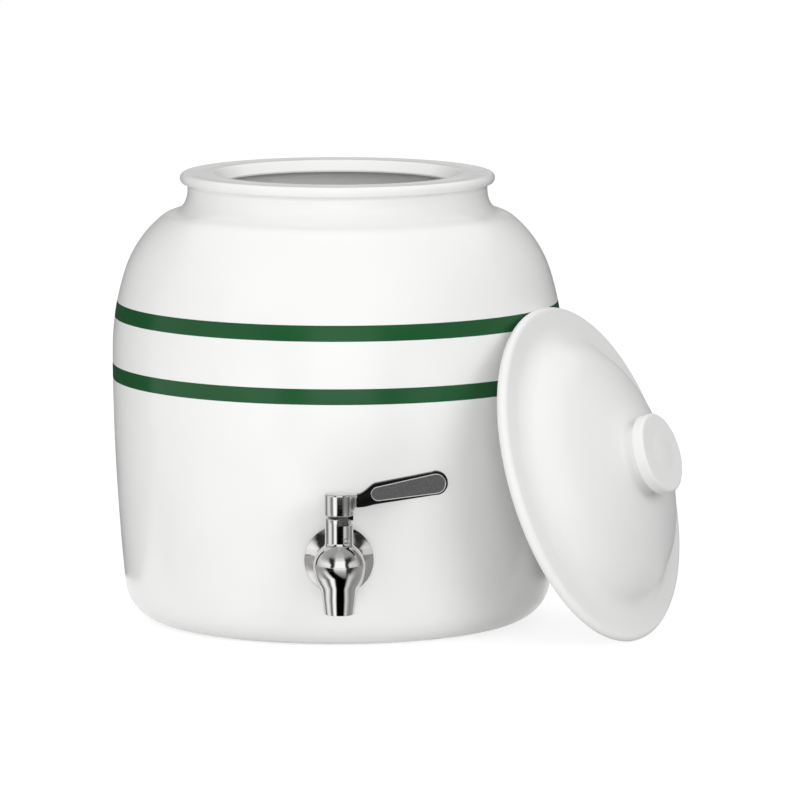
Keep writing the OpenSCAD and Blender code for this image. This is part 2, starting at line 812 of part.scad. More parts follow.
// An inlay plate, from its pocket's floor to the grip's face on the given side
module inlay(side) {
    translate([0, side * (grip_t - inlay_t) / 2, 0])
        rotate([90, 0, 0])
        linear_extrude(inlay_t, center = true)
        hull() {
            translate([heel_reach, heel_z]) circle(d = inlay_heel_h, $fn = hull_fn);
            translate([tip_reach, tip_z]) circle(d = inlay_tip_h, $fn = hull_fn);
        }
}

module lever_grip() {
    color(grip_black) at_valve() difference() {
        grip_form();
        tang(tang_play);
        for (side = [-1, 1]) inlay(side);
    }
}

module front_inlay() {
    color(satin_grey) at_valve() inlay(-1);
}

module rear_inlay() {
    color(satin_grey) at_valve() inlay(1);
}

crock();
upper_band();
lower_band();
lid();
faucet_body();
threaded_shank();
escutcheon();
outer_gasket();
inner_gasket();
flat_washer();
lock_nut();
inlet_seat();
retaining_pin();
valve_stem();
lower_o_ring();
upper_o_ring();
lever_hub();
hub_set_screw();
lever_grip();
front_inlay();
rear_inlay();
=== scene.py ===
"""Looks of a porcelain water dispenser: banded crock, leaning lid and lever tap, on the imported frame.

The pieces' sizes are in millimetres and their angles in degrees. Finishes and the studio are in metres.
"""

import logging
import math
from dataclasses import dataclass
from enum import Enum
from functools import cache

import bpy
import numpy as np
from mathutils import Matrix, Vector


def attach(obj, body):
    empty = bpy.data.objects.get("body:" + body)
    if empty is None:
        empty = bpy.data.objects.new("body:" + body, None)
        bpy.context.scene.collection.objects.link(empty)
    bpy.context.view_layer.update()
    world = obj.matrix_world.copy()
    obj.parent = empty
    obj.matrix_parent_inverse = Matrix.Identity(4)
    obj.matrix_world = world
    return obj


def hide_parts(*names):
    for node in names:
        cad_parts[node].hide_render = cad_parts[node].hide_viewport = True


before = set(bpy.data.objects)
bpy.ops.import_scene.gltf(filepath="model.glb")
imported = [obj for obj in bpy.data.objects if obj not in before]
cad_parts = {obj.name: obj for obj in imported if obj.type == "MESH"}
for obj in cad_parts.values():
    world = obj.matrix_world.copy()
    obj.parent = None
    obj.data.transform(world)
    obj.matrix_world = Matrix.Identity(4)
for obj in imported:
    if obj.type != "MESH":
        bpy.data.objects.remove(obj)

LOG = logging.getLogger("dispenser")
MM = 0.001
TINY = 1e-6
SAME = 1e-4  # points closer than this, in millimetres, are one
SIDE_SHARE = 0.49  # the most of a side that the rounding of one corner takes
SHARP_DEG = 40.0  # edges that bend by more than this are drawn sharp
WHITE = (1.0, 1.0, 1.0)
Pair = tuple[float, float]
Triple = tuple[float, float, float]
Color = Triple
Stripes = tuple[Pair, ...]
Socket = bpy.types.NodeSocket
Material = bpy.types.Material
NOISE_RANGE: Pair = (0.3, 0.7)  # holds most of a noise's values


class Body(Enum):
    """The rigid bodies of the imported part."""

    VESSEL = "vessel"
    LEVER = "lever"
    LID = "lid"


class Slot(Enum):
    """The record's material slots."""

    PORCELAIN = "porcelain"
    GREEN = "green_glaze"
    STEEL = "polished_steel"
    SCREW = "screw_steel"
    GREY_SEAL = "grey_seal"
    BLACK_SEAL = "black_seal"
    SEAT = "white_seat"
    GRIP = "black_grip"
    INLAY = "grey_inlay"


class Axis(Enum):
    """An axis to turn about, with the numbers of the two axes that turn into each other."""

    X = (1, 2)
    Y = (2, 0)
    Z = (0, 1)


class Side(Enum):
    """The grip's two faces, with the sign of y on each."""

    FRONT = -1
    REAR = 1


class Mixed(Enum):
    """What a mix node mixes: its data type, the numbers of its two inputs, and its output's number."""

    COLOUR = ("RGBA", 6, 7, 2)
    VALUE = ("FLOAT", 2, 3, 0)


# Points and outlines in a plane


def unit(v: np.ndarray) -> np.ndarray:
    """The vector at length one."""
    return v / np.linalg.norm(v)


def on_arc(centre: np.ndarray, r: float, deg: float) -> np.ndarray:
    """The point of a circle round a centre at an angle in degrees."""
    a = math.radians(deg)
    return np.asarray(centre) + r * np.array([math.cos(a), math.sin(a)])


def points(*coordinates: np.ndarray) -> np.ndarray:
    """Coordinates side by side, as points."""
    return np.stack(np.broadcast_arrays(*coordinates), -1)


def slope_deg(rise: float, run: float) -> float:
    """The angle of a direction in degrees, from its rise and its run."""
    return math.degrees(math.atan2(rise, run))


def arc(centre: np.ndarray, r: float, start: float, end: float, step: float) -> np.ndarray:
    """Points along an arc: centre plus radius times (cosine, sine) of evenly spaced angles.

    Args:
        centre: The arc's centre in the plane.
        r: Its radius.
        start: The first angle in degrees.
        end: The last angle in degrees.
        step: The widest angle between two points.

    Returns:
        The points, with both ends, as rows.
    """
    count = max(2, math.ceil(abs(end - start) / step) + 1)
    a = np.radians(np.linspace(start, end, count))
    return np.asarray(centre) + r * points(np.cos(a), np.sin(a))


def chain(*pieces: np.ndarray) -> np.ndarray:
    """Lay runs of points one after another and drop points that repeat.

    Args:
        pieces: Runs of points, each a row or rows of two numbers.

    Returns:
        The joined rows.
    """
    rows = np.vstack([np.atleast_2d(np.asarray(p, float)) for p in pieces])
    keep = np.r_[True, np.linalg.norm(np.diff(rows, axis=0), axis=1) > SAME]
    return rows[keep]


def corner_arc(a: np.ndarray, b: np.ndarray, c: np.ndarray, r: float, step: float) -> np.ndarray:
    """The arc that rounds the corner at b: its centre is r over the half angle's sine along the bisector.

    Args:
        a: The point before the corner.
        b: The corner.
        c: The point after it.
        r: The radius, shortened where the sides are too short for it.
        step: The widest angle between two points, in degrees.

    Returns:
        The arc's points from the side of a to the side of c.
    """
    u, v = unit(a - b), unit(c - b)
    half = math.acos(float(np.clip(u @ v, -1, 1))) / 2
    reach = min(r / math.tan(half), SIDE_SHARE * min(np.linalg.norm(a - b), np.linalg.norm(c - b)))
    r = reach * math.tan(half)
    m = b + unit(u + v) * r / math.sin(half)
    p, q = b + u * reach - m, b + v * reach - m
    start = slope_deg(p[1], p[0])
    turn = slope_deg(p[0] * q[1] - p[1] * q[0], p @ q)
    return arc(m, r, start, start + turn, step)


def rounded(rows: list[Triple], closed: bool = False, step: float = 10.0) -> np.ndarray:
    """A polyline whose corners are rounded.

    Args:
        rows: Each corner as its two coordinates and its radius.
        closed: True if the last corner joins the first.
        step: The widest angle between two points of a rounding, in degrees.

    Returns:
        The rounded line's points.
    """
    p = np.array([row[:2] for row in rows], float)
    runs = []
    for i, row in enumerate(rows):
        plain = row[2] <= 0 or (not closed and i in (0, len(rows) - 1))
        runs.append(p[i] if plain else corner_arc(p[i - 1], p[i], p[(i + 1) % len(p)], row[2], step))
    return chain(*runs)


def ease(t: np.ndarray) -> np.ndarray:
    """Smooth step: three t squared less two t cubed, with t held between 0 and 1."""
    t = np.clip(t, 0, 1)
    return t * t * (3 - 2 * t)


def resampled(line: np.ndarray, count: int) -> np.ndarray:
    """A polyline resampled at even steps of its own length.

    Args:
        line: The points.
        count: Number of points wanted.

    Returns:
        The new points, with both ends kept.
    """
    s = np.r_[0, np.cumsum(np.linalg.norm(np.diff(line, axis=0), axis=1))]
    want = np.linspace(0, s[-1], count)
    return points(np.interp(want, s, line[:, 0]), np.interp(want, s, line[:, 1]))


def outline_normals(outline: np.ndarray) -> np.ndarray:
    """Outward unit normals of a closed outline, each square to the line between a point's neighbours.

    Args:
        outline: The outline as rows of two coordinates.

    Returns:
        The normals as rows.
    """
    after = np.roll(outline, -1, 0)
    along = after - np.roll(outline, 1, 0)
    normal = points(along[:, 1], -along[:, 0]) / np.linalg.norm(along, axis=1, keepdims=True)
    return normal if np.cross(outline, after).sum() > 0 else -normal


# Surfaces


@dataclass
class Surface:
    """A closed mesh surface in millimetres."""

    verts: np.ndarray
    quads: np.ndarray
    tris: np.ndarray

    def volume(self) -> float:
        """Signed volume: the sum over triangles of their corners' triple products, over six.

        Returns:
            The volume, below zero if the faces point inwards.
        """
        q, v = self.quads, self.verts
        t = np.vstack([q[:, [0, 1, 2]], q[:, [0, 2, 3]], self.tris])
        return float(np.einsum("ij,ij->i", v[t[:, 0]], np.cross(v[t[:, 1]], v[t[:, 2]])).sum() / 6)

    def outward(self) -> "Surface":
        """The same surface with its faces turned outwards."""
        order = slice(None, None, 1 if self.volume() >= 0 else -1)
        return Surface(self.verts, self.quads[:, order], self.tris[:, order])

    def placed(self, matrix: np.ndarray) -> "Surface":
        """The surface moved by a four by four matrix."""
        return Surface(self.verts @ matrix[:3, :3].T + matrix[:3, 3], self.quads, self.tris)


def joined(*parts: Surface) -> Surface:
    """Several closed surfaces as one mesh.

    Args:
        parts: The surfaces.

    Returns:
        One surface that holds them all.
    """
    starts = np.cumsum([0] + [len(p.verts) for p in parts[:-1]])
    return Surface(
        np.vstack([p.verts for p in parts]),
        np.vstack([p.quads + s for p, s in zip(parts, starts)]),
        np.vstack([p.tris + s for p, s in zip(parts, starts)]),
    )


def grid_quads(rows: int, cols: int, wrap_rows: bool) -> np.ndarray:
    """Faces of a grid whose columns run round, and whose rows do too if asked.

    Args:
        rows: Number of rows.
        cols: Number of points in a row.
        wrap_rows: True if the last row joins the first.

    Returns:
        Four corner numbers a face.
    """
    i = np.arange(rows if wrap_rows else rows - 1)[:, None]
    j = np.arange(cols)[None, :]
    nxt, low = (j + 1) % cols, ((i + 1) % rows) * cols
    corners = np.broadcast_arrays(i * cols + j, i * cols + nxt, low + nxt, low + j)
    return np.stack(corners, -1).reshape(-1, 4)


def fans(rows: int, cols: int, first: int, last: int) -> np.ndarray:
    """Triangles that close a grid's first and last row at one point each.

    Args:
        rows: Number of rows of the grid.
        cols: Number of points in a row.
        first: Number of the point that closes the first row.
        last: Number of the point that closes the last row.

    Returns:
        Three corner numbers a face.
    """
    k = np.arange(cols)
    nxt, base = (k + 1) % cols, (rows - 1) * cols
    return np.vstack([
        np.stack([np.full(cols, first), nxt, k], -1),
        np.stack([np.full(cols, last), base + k, base + nxt], -1),
    ])


NO_TRIS = np.zeros((0, 3), int)


def braced(line: np.ndarray, margin: float = 0.25, ratio: float = 4.0) -> np.ndarray:
    """Add a point near each end of a run that is long beside its neighbours, to keep its shading straight.

    Args:
        line: The points.
        margin: Distance of the new points from the run's ends.
        ratio: How many times the margin and its shorter neighbour a long run is.

    Returns:
        The points with the new ones between them.
    """
    step = np.diff(line, axis=0)
    size = np.linalg.norm(step, axis=1)
    beside = np.minimum(np.r_[size[1:], np.inf], np.r_[np.inf, size[:-1]])
    long = (size > ratio * margin) & (size > ratio * beside)
    part = step * margin / size[:, None]
    rows = np.stack([line[:-1], line[:-1] + part, line[1:] - part], 1)
    return np.vstack([rows[np.stack([np.ones(len(step), bool), long, long], 1)], line[-1:]])


def turned(profile: np.ndarray, segments: int) -> Surface:
    """Turn a half profile about Z: (r, z) goes to (r cos t, r sin t, z) for t round the circle.

    Args:
        profile: Rows of radius and height. One that starts and ends on the axis closes there at two
            poles, and any other joins its end to its start.
        segments: Number of steps round the circle.

    Returns:
        The closed surface.
    """
    profile = braced(profile)
    t = np.linspace(0, 2 * np.pi, segments, endpoint=False)
    poles = profile[0, 0] < TINY and profile[-1, 0] < TINY
    ring = profile[1:-1] if poles else profile
    r, z = ring[:, :1], ring[:, 1:]
    verts = points(r * np.cos(t), r * np.sin(t), z).reshape(-1, 3)
    tris = NO_TRIS
    if poles:
        tris = fans(len(ring), segments, len(verts), len(verts) + 1)
        verts = np.vstack([verts, [0, 0, profile[0, 1]], [0, 0, profile[-1, 1]]])
    return Surface(verts, grid_quads(len(ring), segments, not poles), tris).outward()


def carried(sections: np.ndarray, closed: bool = False) -> Surface:
    """Join sections carried along a path: a grid of sections by their points, with a fan at each open end.

    Args:
        sections: Array of section, point and coordinate.
        closed: True if the path runs back into itself.

    Returns:
        The closed surface.
    """
    n, m = sections.shape[:2]
    verts = sections.reshape(-1, 3)
    tris = NO_TRIS
    if not closed:
        tris = fans(n, m, len(verts), len(verts) + 1)
        verts = np.vstack([verts, sections[0].mean(0), sections[-1].mean(0)])
    return Surface(verts, grid_quads(n, m, closed), tris).outward()


def carried_round(section: np.ndarray, start: float, end: float, count: int) -> Surface:
    """Carry a section round Z: (r, z) goes to (r cos a, r sin a, z) for angles from start to end.

    Args:
        section: Closed outline as rows of radius and height.
        start: The first angle in degrees.
        end: The last angle in degrees.
        count: Number of sections.

    Returns:
        The closed surface.
    """
    a = np.radians(np.linspace(start, end, count))[:, None]
    r, z = section.T[:, None]
    return carried(points(r * np.cos(a), r * np.sin(a), z))


def plate(outline: np.ndarray, inset: np.ndarray, depth: np.ndarray) -> Surface:
    """A flat plate with a shaped edge: each edge row is the outline moved in along its normals, at a depth.

    The outline's first half runs along the upper side and its second half back along the lower side, point
    for point, so each flat face is a strip of quads across.

    Args:
        outline: Closed outline as rows of x and z.
        inset: Distance moved in, by edge row, and by outline point or one for all.
        depth: The y coordinate, by edge row, and by outline point or one for all.

    Returns:
        The closed surface.
    """
    k = len(outline)
    flat = outline[None] - outline_normals(outline)[None] * inset[..., None]
    verts = points(flat[..., 0], depth, flat[..., 1]).reshape(-1, 3)
    i = np.arange(k // 2 - 1)
    strip = np.stack([i, i + 1, k - 2 - i, k - 1 - i], -1)
    base = (len(inset) - 1) * k
    quads = np.vstack([grid_quads(len(inset), k, False), strip[:, [1, 0, 3, 2]], strip + base])
    return Surface(verts, quads, NO_TRIS).outward()


# Placing


def shift(x: float, y: float, z: float) -> np.ndarray:
    """A four by four matrix that moves.

    Args:
        x: Distance along x.
        y: Distance along y.
        z: Distance along z.

    Returns:
        The matrix.
    """
    m = np.eye(4)
    m[:3, 3] = x, y, z
    return m


def spin(axis: Axis, deg: float) -> np.ndarray:
    """A four by four matrix that turns about an axis by the right-hand rule.

    Args:
        axis: The axis.
        deg: The angle in degrees.

    Returns:
        The matrix.
    """
    c, s = math.cos(math.radians(deg)), math.sin(math.radians(deg))
    i, j = axis.value
    m = np.eye(4)
    m[i, i] = m[j, j] = c
    m[i, j], m[j, i] = -s, s
    return m


# Materials


class Graph:
    """The nodes of a material or a world being put together."""

    def __init__(self, owner: bpy.types.ID, output: str = "OutputMaterial") -> None:
        """Start with nothing but the output node.

        Args:
            owner: The new material or world.
            output: Its output node's type without the ShaderNode prefix.
        """
        owner.use_nodes = True
        self.owner = owner
        self.tree = owner.node_tree
        self.tree.nodes.clear()
        self.output = self.add(output)

    def add(self, kind: str, *values: object, **inputs: object) -> bpy.types.Node:
        """Add a node and set or link its inputs.

        Args:
            kind: Blender's node type without its ShaderNode prefix.
            values: Values for its first inputs in order, or the sockets to link there.
            inputs: The same by socket name, with underscores for spaces.

        Returns:
            The node.
        """
        node = self.tree.nodes.new("ShaderNode" + kind)
        for socket, value in zip(node.inputs, values):
            self.put(socket, value)
        for name, value in inputs.items():
            self.put(node.inputs[name.replace("_", " ")], value)
        return node

    def put(self, socket: Socket, value: object) -> None:
        """Set a socket to a value, or link it if the value is a socket.

        Args:
            socket: The socket to fill.
            value: A number, a colour without alpha, a vector, or the socket to link.
        """
        if isinstance(value, Socket):
            self.tree.links.new(value, socket)
        else:
            socket.default_value = (*value, 1.0) if socket.type == "RGBA" else value

    def place(self) -> Socket:
        """Object coordinates, which are the part's own frame in metres."""
        return self.add("TexCoord").outputs["Object"]

    def noise(self, vector: Socket, scale: float, detail: float = 2.0, rough: float = 0.5) -> Socket:
        """A noise value from 0 to 1 over the surface.

        Args:
            vector: The coordinates' socket.
            scale: Number of features a metre.
            detail: Number of finer layers.
            rough: Weight of the finer layers.

        Returns:
            The value's socket.
        """
        node = self.add("TexNoise", Vector=vector, Scale=scale, Detail=detail, Roughness=rough)
        return node.outputs[0]

    def span(self, value: Socket, low: float, high: float, to_low: float, to_high: float) -> Socket:
        """A value carried from one range to another and held inside it."""
        node = self.add("MapRange", Value=value, From_Min=low, From_Max=high, To_Min=to_low, To_Max=to_high)
        return node.outputs[0]

    def blend(self, factor: Socket, a: object, b: object, mixed: Mixed = Mixed.COLOUR) -> Socket:
        """Mix two colours or two values by a factor.

        Args:
            factor: The share of b.
            a: A colour, a value or a socket.
            b: A colour, a value or a socket.
            mixed: What a and b are.

        Returns:
            The mixture's socket.
        """
        kind, one, two, out = mixed.value
        node = self.add("Mix")
        node.data_type = kind
        for number, value in ((0, factor), (one, a), (two, b)):
            self.put(node.inputs[number], value)
        return node.outputs[out]

    def bump(self, height: Socket, strength: float, depth: float, below: Socket | None = None) -> Socket:
        """A surface relief.

        Args:
            height: The height's socket.
            strength: Share of the relief that shows.
            depth: The relief's depth in metres.
            below: The socket of a coarser relief, if there is one.

        Returns:
            The normal's socket.
        """
        node = self.add("Bump", Height=height, Strength=strength, Distance=depth)
        if below is not None:
            self.put(node.inputs["Normal"], below)
        return node.outputs[0]

    def close(self, shader: bpy.types.Node) -> bpy.types.ID:
        """Link the shader to the output and give the material or world."""
        self.tree.links.new(shader.outputs[0], self.output.inputs["Surface"])
        return self.owner


@dataclass(frozen=True)
class Coat:
    """What every finish has: a name, a light and a dark tone, and its roughness from low to high."""

    name: str
    light: Color
    dark: Color
    gloss: Pair

    def start(self) -> tuple[Graph, Socket]:
        """A graph for the finish's new material, and its object coordinates."""
        g = Graph(bpy.data.materials.new(self.name))
        return g, g.place()


@dataclass(frozen=True)
class Glaze(Coat):
    """Fired glass glaze: a faint cloudy tone, a soft ripple, and a bare ring under the foot where asked."""

    shine: float
    bare_foot: bool = False
    cloud_scale: float = 14.0
    cloud_range: Pair = (0.35, 0.65)
    gloss_scale: float = 30.0
    ripple_scale: float = 22.0
    ripple_depth: float = 0.0006
    peel_scale: float = 420.0
    peel_depth: float = 0.0001
    bare_heights: Pair = (0.0002, 0.0007)
    bare_scale: float = 900.0
    bare_tones: tuple[Color, Color] = ((0.62, 0.58, 0.51), (0.72, 0.69, 0.63))
    bare_rough: float = 0.75

    def material(self) -> Material:
        """Make the node material.

        Returns:
            The material.
        """
        g, place = self.start()
        cloud = g.span(g.noise(place, self.cloud_scale, detail=3.0), *self.cloud_range, 0, 1)
        colour = g.blend(cloud, self.light, self.dark)
        rough = g.span(g.noise(place, self.gloss_scale), *NOISE_RANGE, *self.gloss)
        if self.bare_foot:
            height = g.add("SeparateXYZ", Vector=place).outputs["Z"]
            bare = g.span(height, *self.bare_heights, 1.0, 0.0)
            grain = g.blend(g.noise(place, self.bare_scale, detail=4.0), *self.bare_tones)
            colour = g.blend(bare, colour, grain)
            rough = g.blend(bare, rough, self.bare_rough, Mixed.VALUE)
        swell = g.noise(place, self.ripple_scale, detail=1.0)
        ripple = g.bump(swell, strength=0.25, depth=self.ripple_depth)
        fine = g.noise(place, self.peel_scale)
        peel = g.bump(fine, strength=0.05, depth=self.peel_depth, below=ripple)
        return g.close(g.add(
            "BsdfPrincipled", Base_Color=colour, Roughness=rough, IOR=1.5, Normal=peel,
            Specular_IOR_Level=self.shine,
        ))


@dataclass(frozen=True)
class Metal(Coat):
    """Polished metal with fine wipe marks and a slightly uneven shine."""

    tone_scale: float = 90.0
    wipe_stretch: Triple = (1.0, 1.0, 14.0)
    wipe_scale: float = 260.0
    wipe_range: Pair = (0.3, 0.75)
    mark_scale: float = 420.0
    mark_depth: float = 0.00005

    def material(self) -> Material:
        """Make the node material.

        Returns:
            The material.
        """
        g, place = self.start()
        colour = g.blend(g.noise(place, self.tone_scale, detail=3.0), self.light, self.dark)
        wipe = g.add("Mapping", Vector=place, Scale=self.wipe_stretch).outputs[0]
        smear = g.noise(wipe, self.wipe_scale, detail=4.0, rough=0.6)
        rough = g.span(smear, *self.wipe_range, *self.gloss)
        scratches = g.noise(wipe, self.mark_scale, detail=3.0)
        marks = g.bump(scratches, strength=0.02, depth=self.mark_depth)
        return g.close(g.add(
            "BsdfPrincipled", Base_Color=colour, Metallic=1.0, Roughness=rough, Normal=marks,
        ))


@dataclass(frozen=True)
class Moulded(Coat):
    """Moulded plastic or rubber with a fine grain."""

    grain: float
    relief: float
    shine: float = 0.5

    def material(self) -> Material:
        """Make the node material.

        Returns:
            The material.
        """
        g, place = self.start()
        fine = g.noise(place, self.grain, detail=4.0, rough=0.65)
        colour = g.blend(g.span(fine, *NOISE_RANGE, 0, 1), self.dark, self.light)
        rough = g.span(g.noise(place, self.grain / 6), *NOISE_RANGE, *self.gloss)
        skin = g.bump(fine, strength=0.3, depth=self.relief)
        return g.close(g.add(
            "BsdfPrincipled", Base_Color=colour, Roughness=rough, IOR=1.46, Normal=skin,
            Specular_IOR_Level=self.shine,
        ))


class Finish(Enum):
    """Every finish on the part, with the record's slot that it stands for."""

    PORCELAIN = (Slot.PORCELAIN, Glaze(
        "white_porcelain", (0.905, 0.905, 0.897), (0.89, 0.89, 0.882), (0.17, 0.24), 0.35, True))
    # The lid's porcelain is the crock's glaze with painted shade: its tone is a little darker for the shade
    # the leaning lid stands in, and its gloss is rougher.
    LID = (Slot.PORCELAIN, Glaze(
        "lid_porcelain", (0.885, 0.885, 0.878), (0.87, 0.87, 0.863), (0.34, 0.42), 0.35))
    GREEN = (Slot.GREEN, Glaze(
        "green_band_glaze", (0.016, 0.096, 0.032), (0.012, 0.085, 0.026), (0.16, 0.24), 0.22))
    STEEL = (Slot.STEEL, Metal("polished_steel", (0.64, 0.635, 0.625), (0.6, 0.595, 0.585), (0.05, 0.1)))
    SCREW = (Slot.SCREW, Metal("dark_screw_steel", (0.3, 0.3, 0.3), (0.2, 0.2, 0.2), (0.25, 0.4)))
    GREY_SEAL = (Slot.GREY_SEAL, Moulded(
        "grey_rubber", (0.52, 0.52, 0.5), (0.46, 0.46, 0.45), (0.5, 0.65), 900.0, 0.00005))
    BLACK_SEAL = (Slot.BLACK_SEAL, Moulded(
        "black_rubber", (0.012, 0.012, 0.012), (0.006, 0.006, 0.006), (0.4, 0.55), 900.0, 0.00005))
    SEAT = (Slot.SEAT, Moulded(
        "white_seat_plastic", (0.8, 0.8, 0.77), (0.74, 0.74, 0.71), (0.3, 0.4), 500.0, 0.00003))
    GRIP = (Slot.GRIP, Moulded(
        "black_grip_plastic", (0.004, 0.004, 0.004), (0.002, 0.002, 0.002), (0.18, 0.28), 700.0, 0.00002,
        shine=0.1))
    INLAY = (Slot.INLAY, Moulded(
        "grey_inlay_plastic", (0.115, 0.115, 0.115), (0.06, 0.06, 0.06), (0.45, 0.6), 1500.0, 0.00012,
        shine=0.3))


@cache
def paint(finish: Finish) -> Material:
    """The finish's material, made once."""
    return finish.value[1].material()


def added(name: str, data: bpy.types.ID) -> bpy.types.Object:
    """Put a mesh, a lamp or a camera into the scene.

    Args:
        name: The object's name.
        data: What it shows.

    Returns:
        The object.
    """
    obj = bpy.data.objects.new(name, data)
    bpy.context.scene.collection.objects.link(obj)
    return obj


def piece(name: str, surface: Surface, finish: Finish, body: Body, stands_for: str = "") -> None:
    """Put a surface into the scene as a piece of the part.

    Args:
        name: The piece's name.
        surface: The closed surface, in millimetres in the part's frame.
        finish: Its finish.
        body: The body that it moves with.
        stands_for: The CAD node that it replaces, if there is one.
    """
    mesh = bpy.data.meshes.new(name)
    mesh.from_pydata((surface.verts * MM).tolist(), [], surface.quads.tolist() + surface.tris.tolist())
    mesh.polygons.foreach_set("use_smooth", np.ones(len(mesh.polygons), bool))
    mesh.update()
    mesh.set_sharp_from_angle(angle=math.radians(SHARP_DEG))
    mesh.materials.append(paint(finish))
    obj = added(name, mesh)
    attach(obj, body.value)
    if stands_for:
        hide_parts(stands_for)
    LOG.info("%s: %d faces on %s", name, len(mesh.polygons), body.value)


# The vessel


@dataclass
class Vessel:
    """The porcelain crock and its two glaze bands."""

    belly_r: float = 135.0
    belly_z: float = 162.0
    wall_arc: float = 1375.0
    base_round: float = 24.0
    shoulder_r: float = 156.0
    shoulder_deg: float = 18.0
    top_r: float = 68.0
    neck_r: float = 89.8
    neck_round: float = 18.0
    neck_sag: float = 4.2
    sag_r: float = 106.0
    rim_z: float = 261.392
    rim_r: float = 94.3
    rim_t: float = 7.2
    rim_edge: float = 3.0
    rim_dip: float = 0.4
    mouth_r: float = 74.0
    throat_r: float = 68.5
    throat_depth: float = 5.8
    throat_h: float = 1.2
    lip_round: float = 2.0
    wall: float = 8.0
    floor: float = 10.0
    band_w: float = 9.3
    band_proud: float = 0.1
    band_depth: float = 0.35
    band_fade: int = 10
    bands: tuple[tuple[str, float], ...] = (("upper_band", 187.3), ("lower_band", 150.4))
    root_drop: float = 3.0
    root_lift: float = 0.3
    root_round: float = 2.2
    root_end: int = 10
    ledge_rounds: Pair = (0.7, 2.0)
    segments: int = 288

    def __post_init__(self) -> None:
        """Work out the centres of the tangent arcs."""
        self.wall_c = np.array([self.belly_r - self.wall_arc, self.belly_z])
        rise = self.belly_z - self.base_round
        run = math.sqrt((self.wall_arc - self.base_round) ** 2 - rise**2)
        self.corner_c = np.array([self.wall_c[0] + run, self.base_round])
        self.corner_deg = -slope_deg(rise, run)
        self.shoulder_c = np.array([self.belly_r - self.shoulder_r, self.belly_z])
        self.top_c = on_arc(self.shoulder_c, self.shoulder_r - self.top_r, self.shoulder_deg)
        reach = self.top_r + self.neck_round
        self.top_deg = math.degrees(math.acos((self.neck_r + self.neck_round - self.top_c[0]) / reach))
        self.neck_c = on_arc(self.top_c, reach, self.top_deg)
        self.height = self.rim_z + self.rim_t

    def wall_r(self, z: np.ndarray) -> np.ndarray:
        """Outer radius of the wall at heights up to the lower shoulder: the arc that holds at each height.

        Args:
            z: The heights.

        Returns:
            The radii.
        """
        low = self.wall_c[0] + np.sqrt(self.wall_arc**2 - (z - self.belly_z) ** 2)
        high = self.shoulder_c[0] + np.sqrt(self.shoulder_r**2 - (z - self.belly_z) ** 2)
        return np.where(z < self.belly_z, low, high)

    def side(self, inset: float) -> np.ndarray:
        """Tangent arcs of bottom edge, wall, two shoulders and neck, moved in and sunk a little at the neck.

        Args:
            inset: The distance moved in from the outside.

        Returns:
            The points from the foot up.
        """
        line = chain(
            arc(self.corner_c, self.base_round - inset, -90, self.corner_deg, step=4),
            arc(self.wall_c, self.wall_arc - inset, self.corner_deg, 0, step=0.15),
            arc(self.shoulder_c, self.shoulder_r - inset, 0, self.shoulder_deg, step=1.2),
            arc(self.top_c, self.top_r - inset, self.shoulder_deg, self.top_deg, step=2.5),
            arc(self.neck_c, self.neck_round + inset, 180 + self.top_deg, 180, step=6),
        )
        near = ease((self.sag_r - inset - line[:, 0]) / (self.sag_r - self.neck_r))
        return line - self.neck_sag * points(0, near * (line[:, 1] > self.belly_z))

    def rim(self) -> np.ndarray:
        """The rolled rim: oval underside, round edge, faint dip across its top, and the lip down the mouth.

        Returns:
            The points from the neck to the throat.
        """
        edge_c = np.array([self.rim_r - self.rim_edge, self.height - self.rim_edge])
        slope = slope_deg(self.throat_depth, self.mouth_r - self.throat_r)
        lip_r = self.mouth_r + self.lip_round * math.tan(math.radians(slope / 2))
        r = np.linspace(edge_c[0], lip_r, 12)
        dip = self.rim_dip * np.sin(np.pi * (r - lip_r) / (edge_c[0] - lip_r)) ** 2
        a = np.radians(np.linspace(-90, 0, 19))
        under = points(
            self.neck_r + (self.rim_r - self.neck_r) * np.cos(a),
            edge_c[1] + (self.rim_t - self.rim_edge) * np.sin(a),
        )
        root = rounded([
            (self.neck_r, self.rim_z - self.root_drop, 0),
            (self.neck_r, self.rim_z + self.root_lift, self.root_round),
            (*under[self.root_end], 0),
        ])
        return chain(
            root,
            under[self.root_end + 1:],
            arc(edge_c, self.rim_edge, 0, 90, step=6),
            points(r, self.height - dip),
            arc((lip_r, self.height - self.lip_round), self.lip_round, 90, 90 + slope, step=6),
            [self.throat_r, self.height - self.throat_depth],
        )

    def hollow(self) -> np.ndarray:
        """The inside: throat, ledge under it, inner wall and floor.

        Returns:
            The points from the throat's top to the middle of the floor.
        """
        throat_z = self.height - self.throat_depth - self.throat_h
        inner = self.side(self.wall)[::-1]
        inner = inner[inner[:, 1] > self.floor]
        neck = self.neck_r - self.wall
        corner_r = self.base_round - self.wall
        foot = self.corner_c[0] + math.sqrt(corner_r**2 - (self.floor - self.base_round) ** 2)
        ledge = rounded([
            (self.throat_r, throat_z + self.throat_h, 0), (self.throat_r, throat_z, self.ledge_rounds[0]),
            (neck, throat_z, self.ledge_rounds[1]), (neck, self.neck_c[1] - self.neck_sag, 0),
        ])
        return chain(ledge, inner, [foot, self.floor], [0, self.floor])

    def band(self, middle: float) -> Surface:
        """A glaze band: the wall's curve over the band's width, a little proud, thinning out at its edges.

        Args:
            middle: Height of the band's middle.

        Returns:
            The ring's surface.
        """
        t = np.linspace(-1, 1, 25)
        z = middle + t * self.band_w / 2
        wall = self.wall_r(z)
        outer = points(wall + self.band_proud * (1 - np.abs(t) ** self.band_fade), z)
        return turned(chain(outer, points(wall - self.band_depth, z)[::-1]), self.segments)

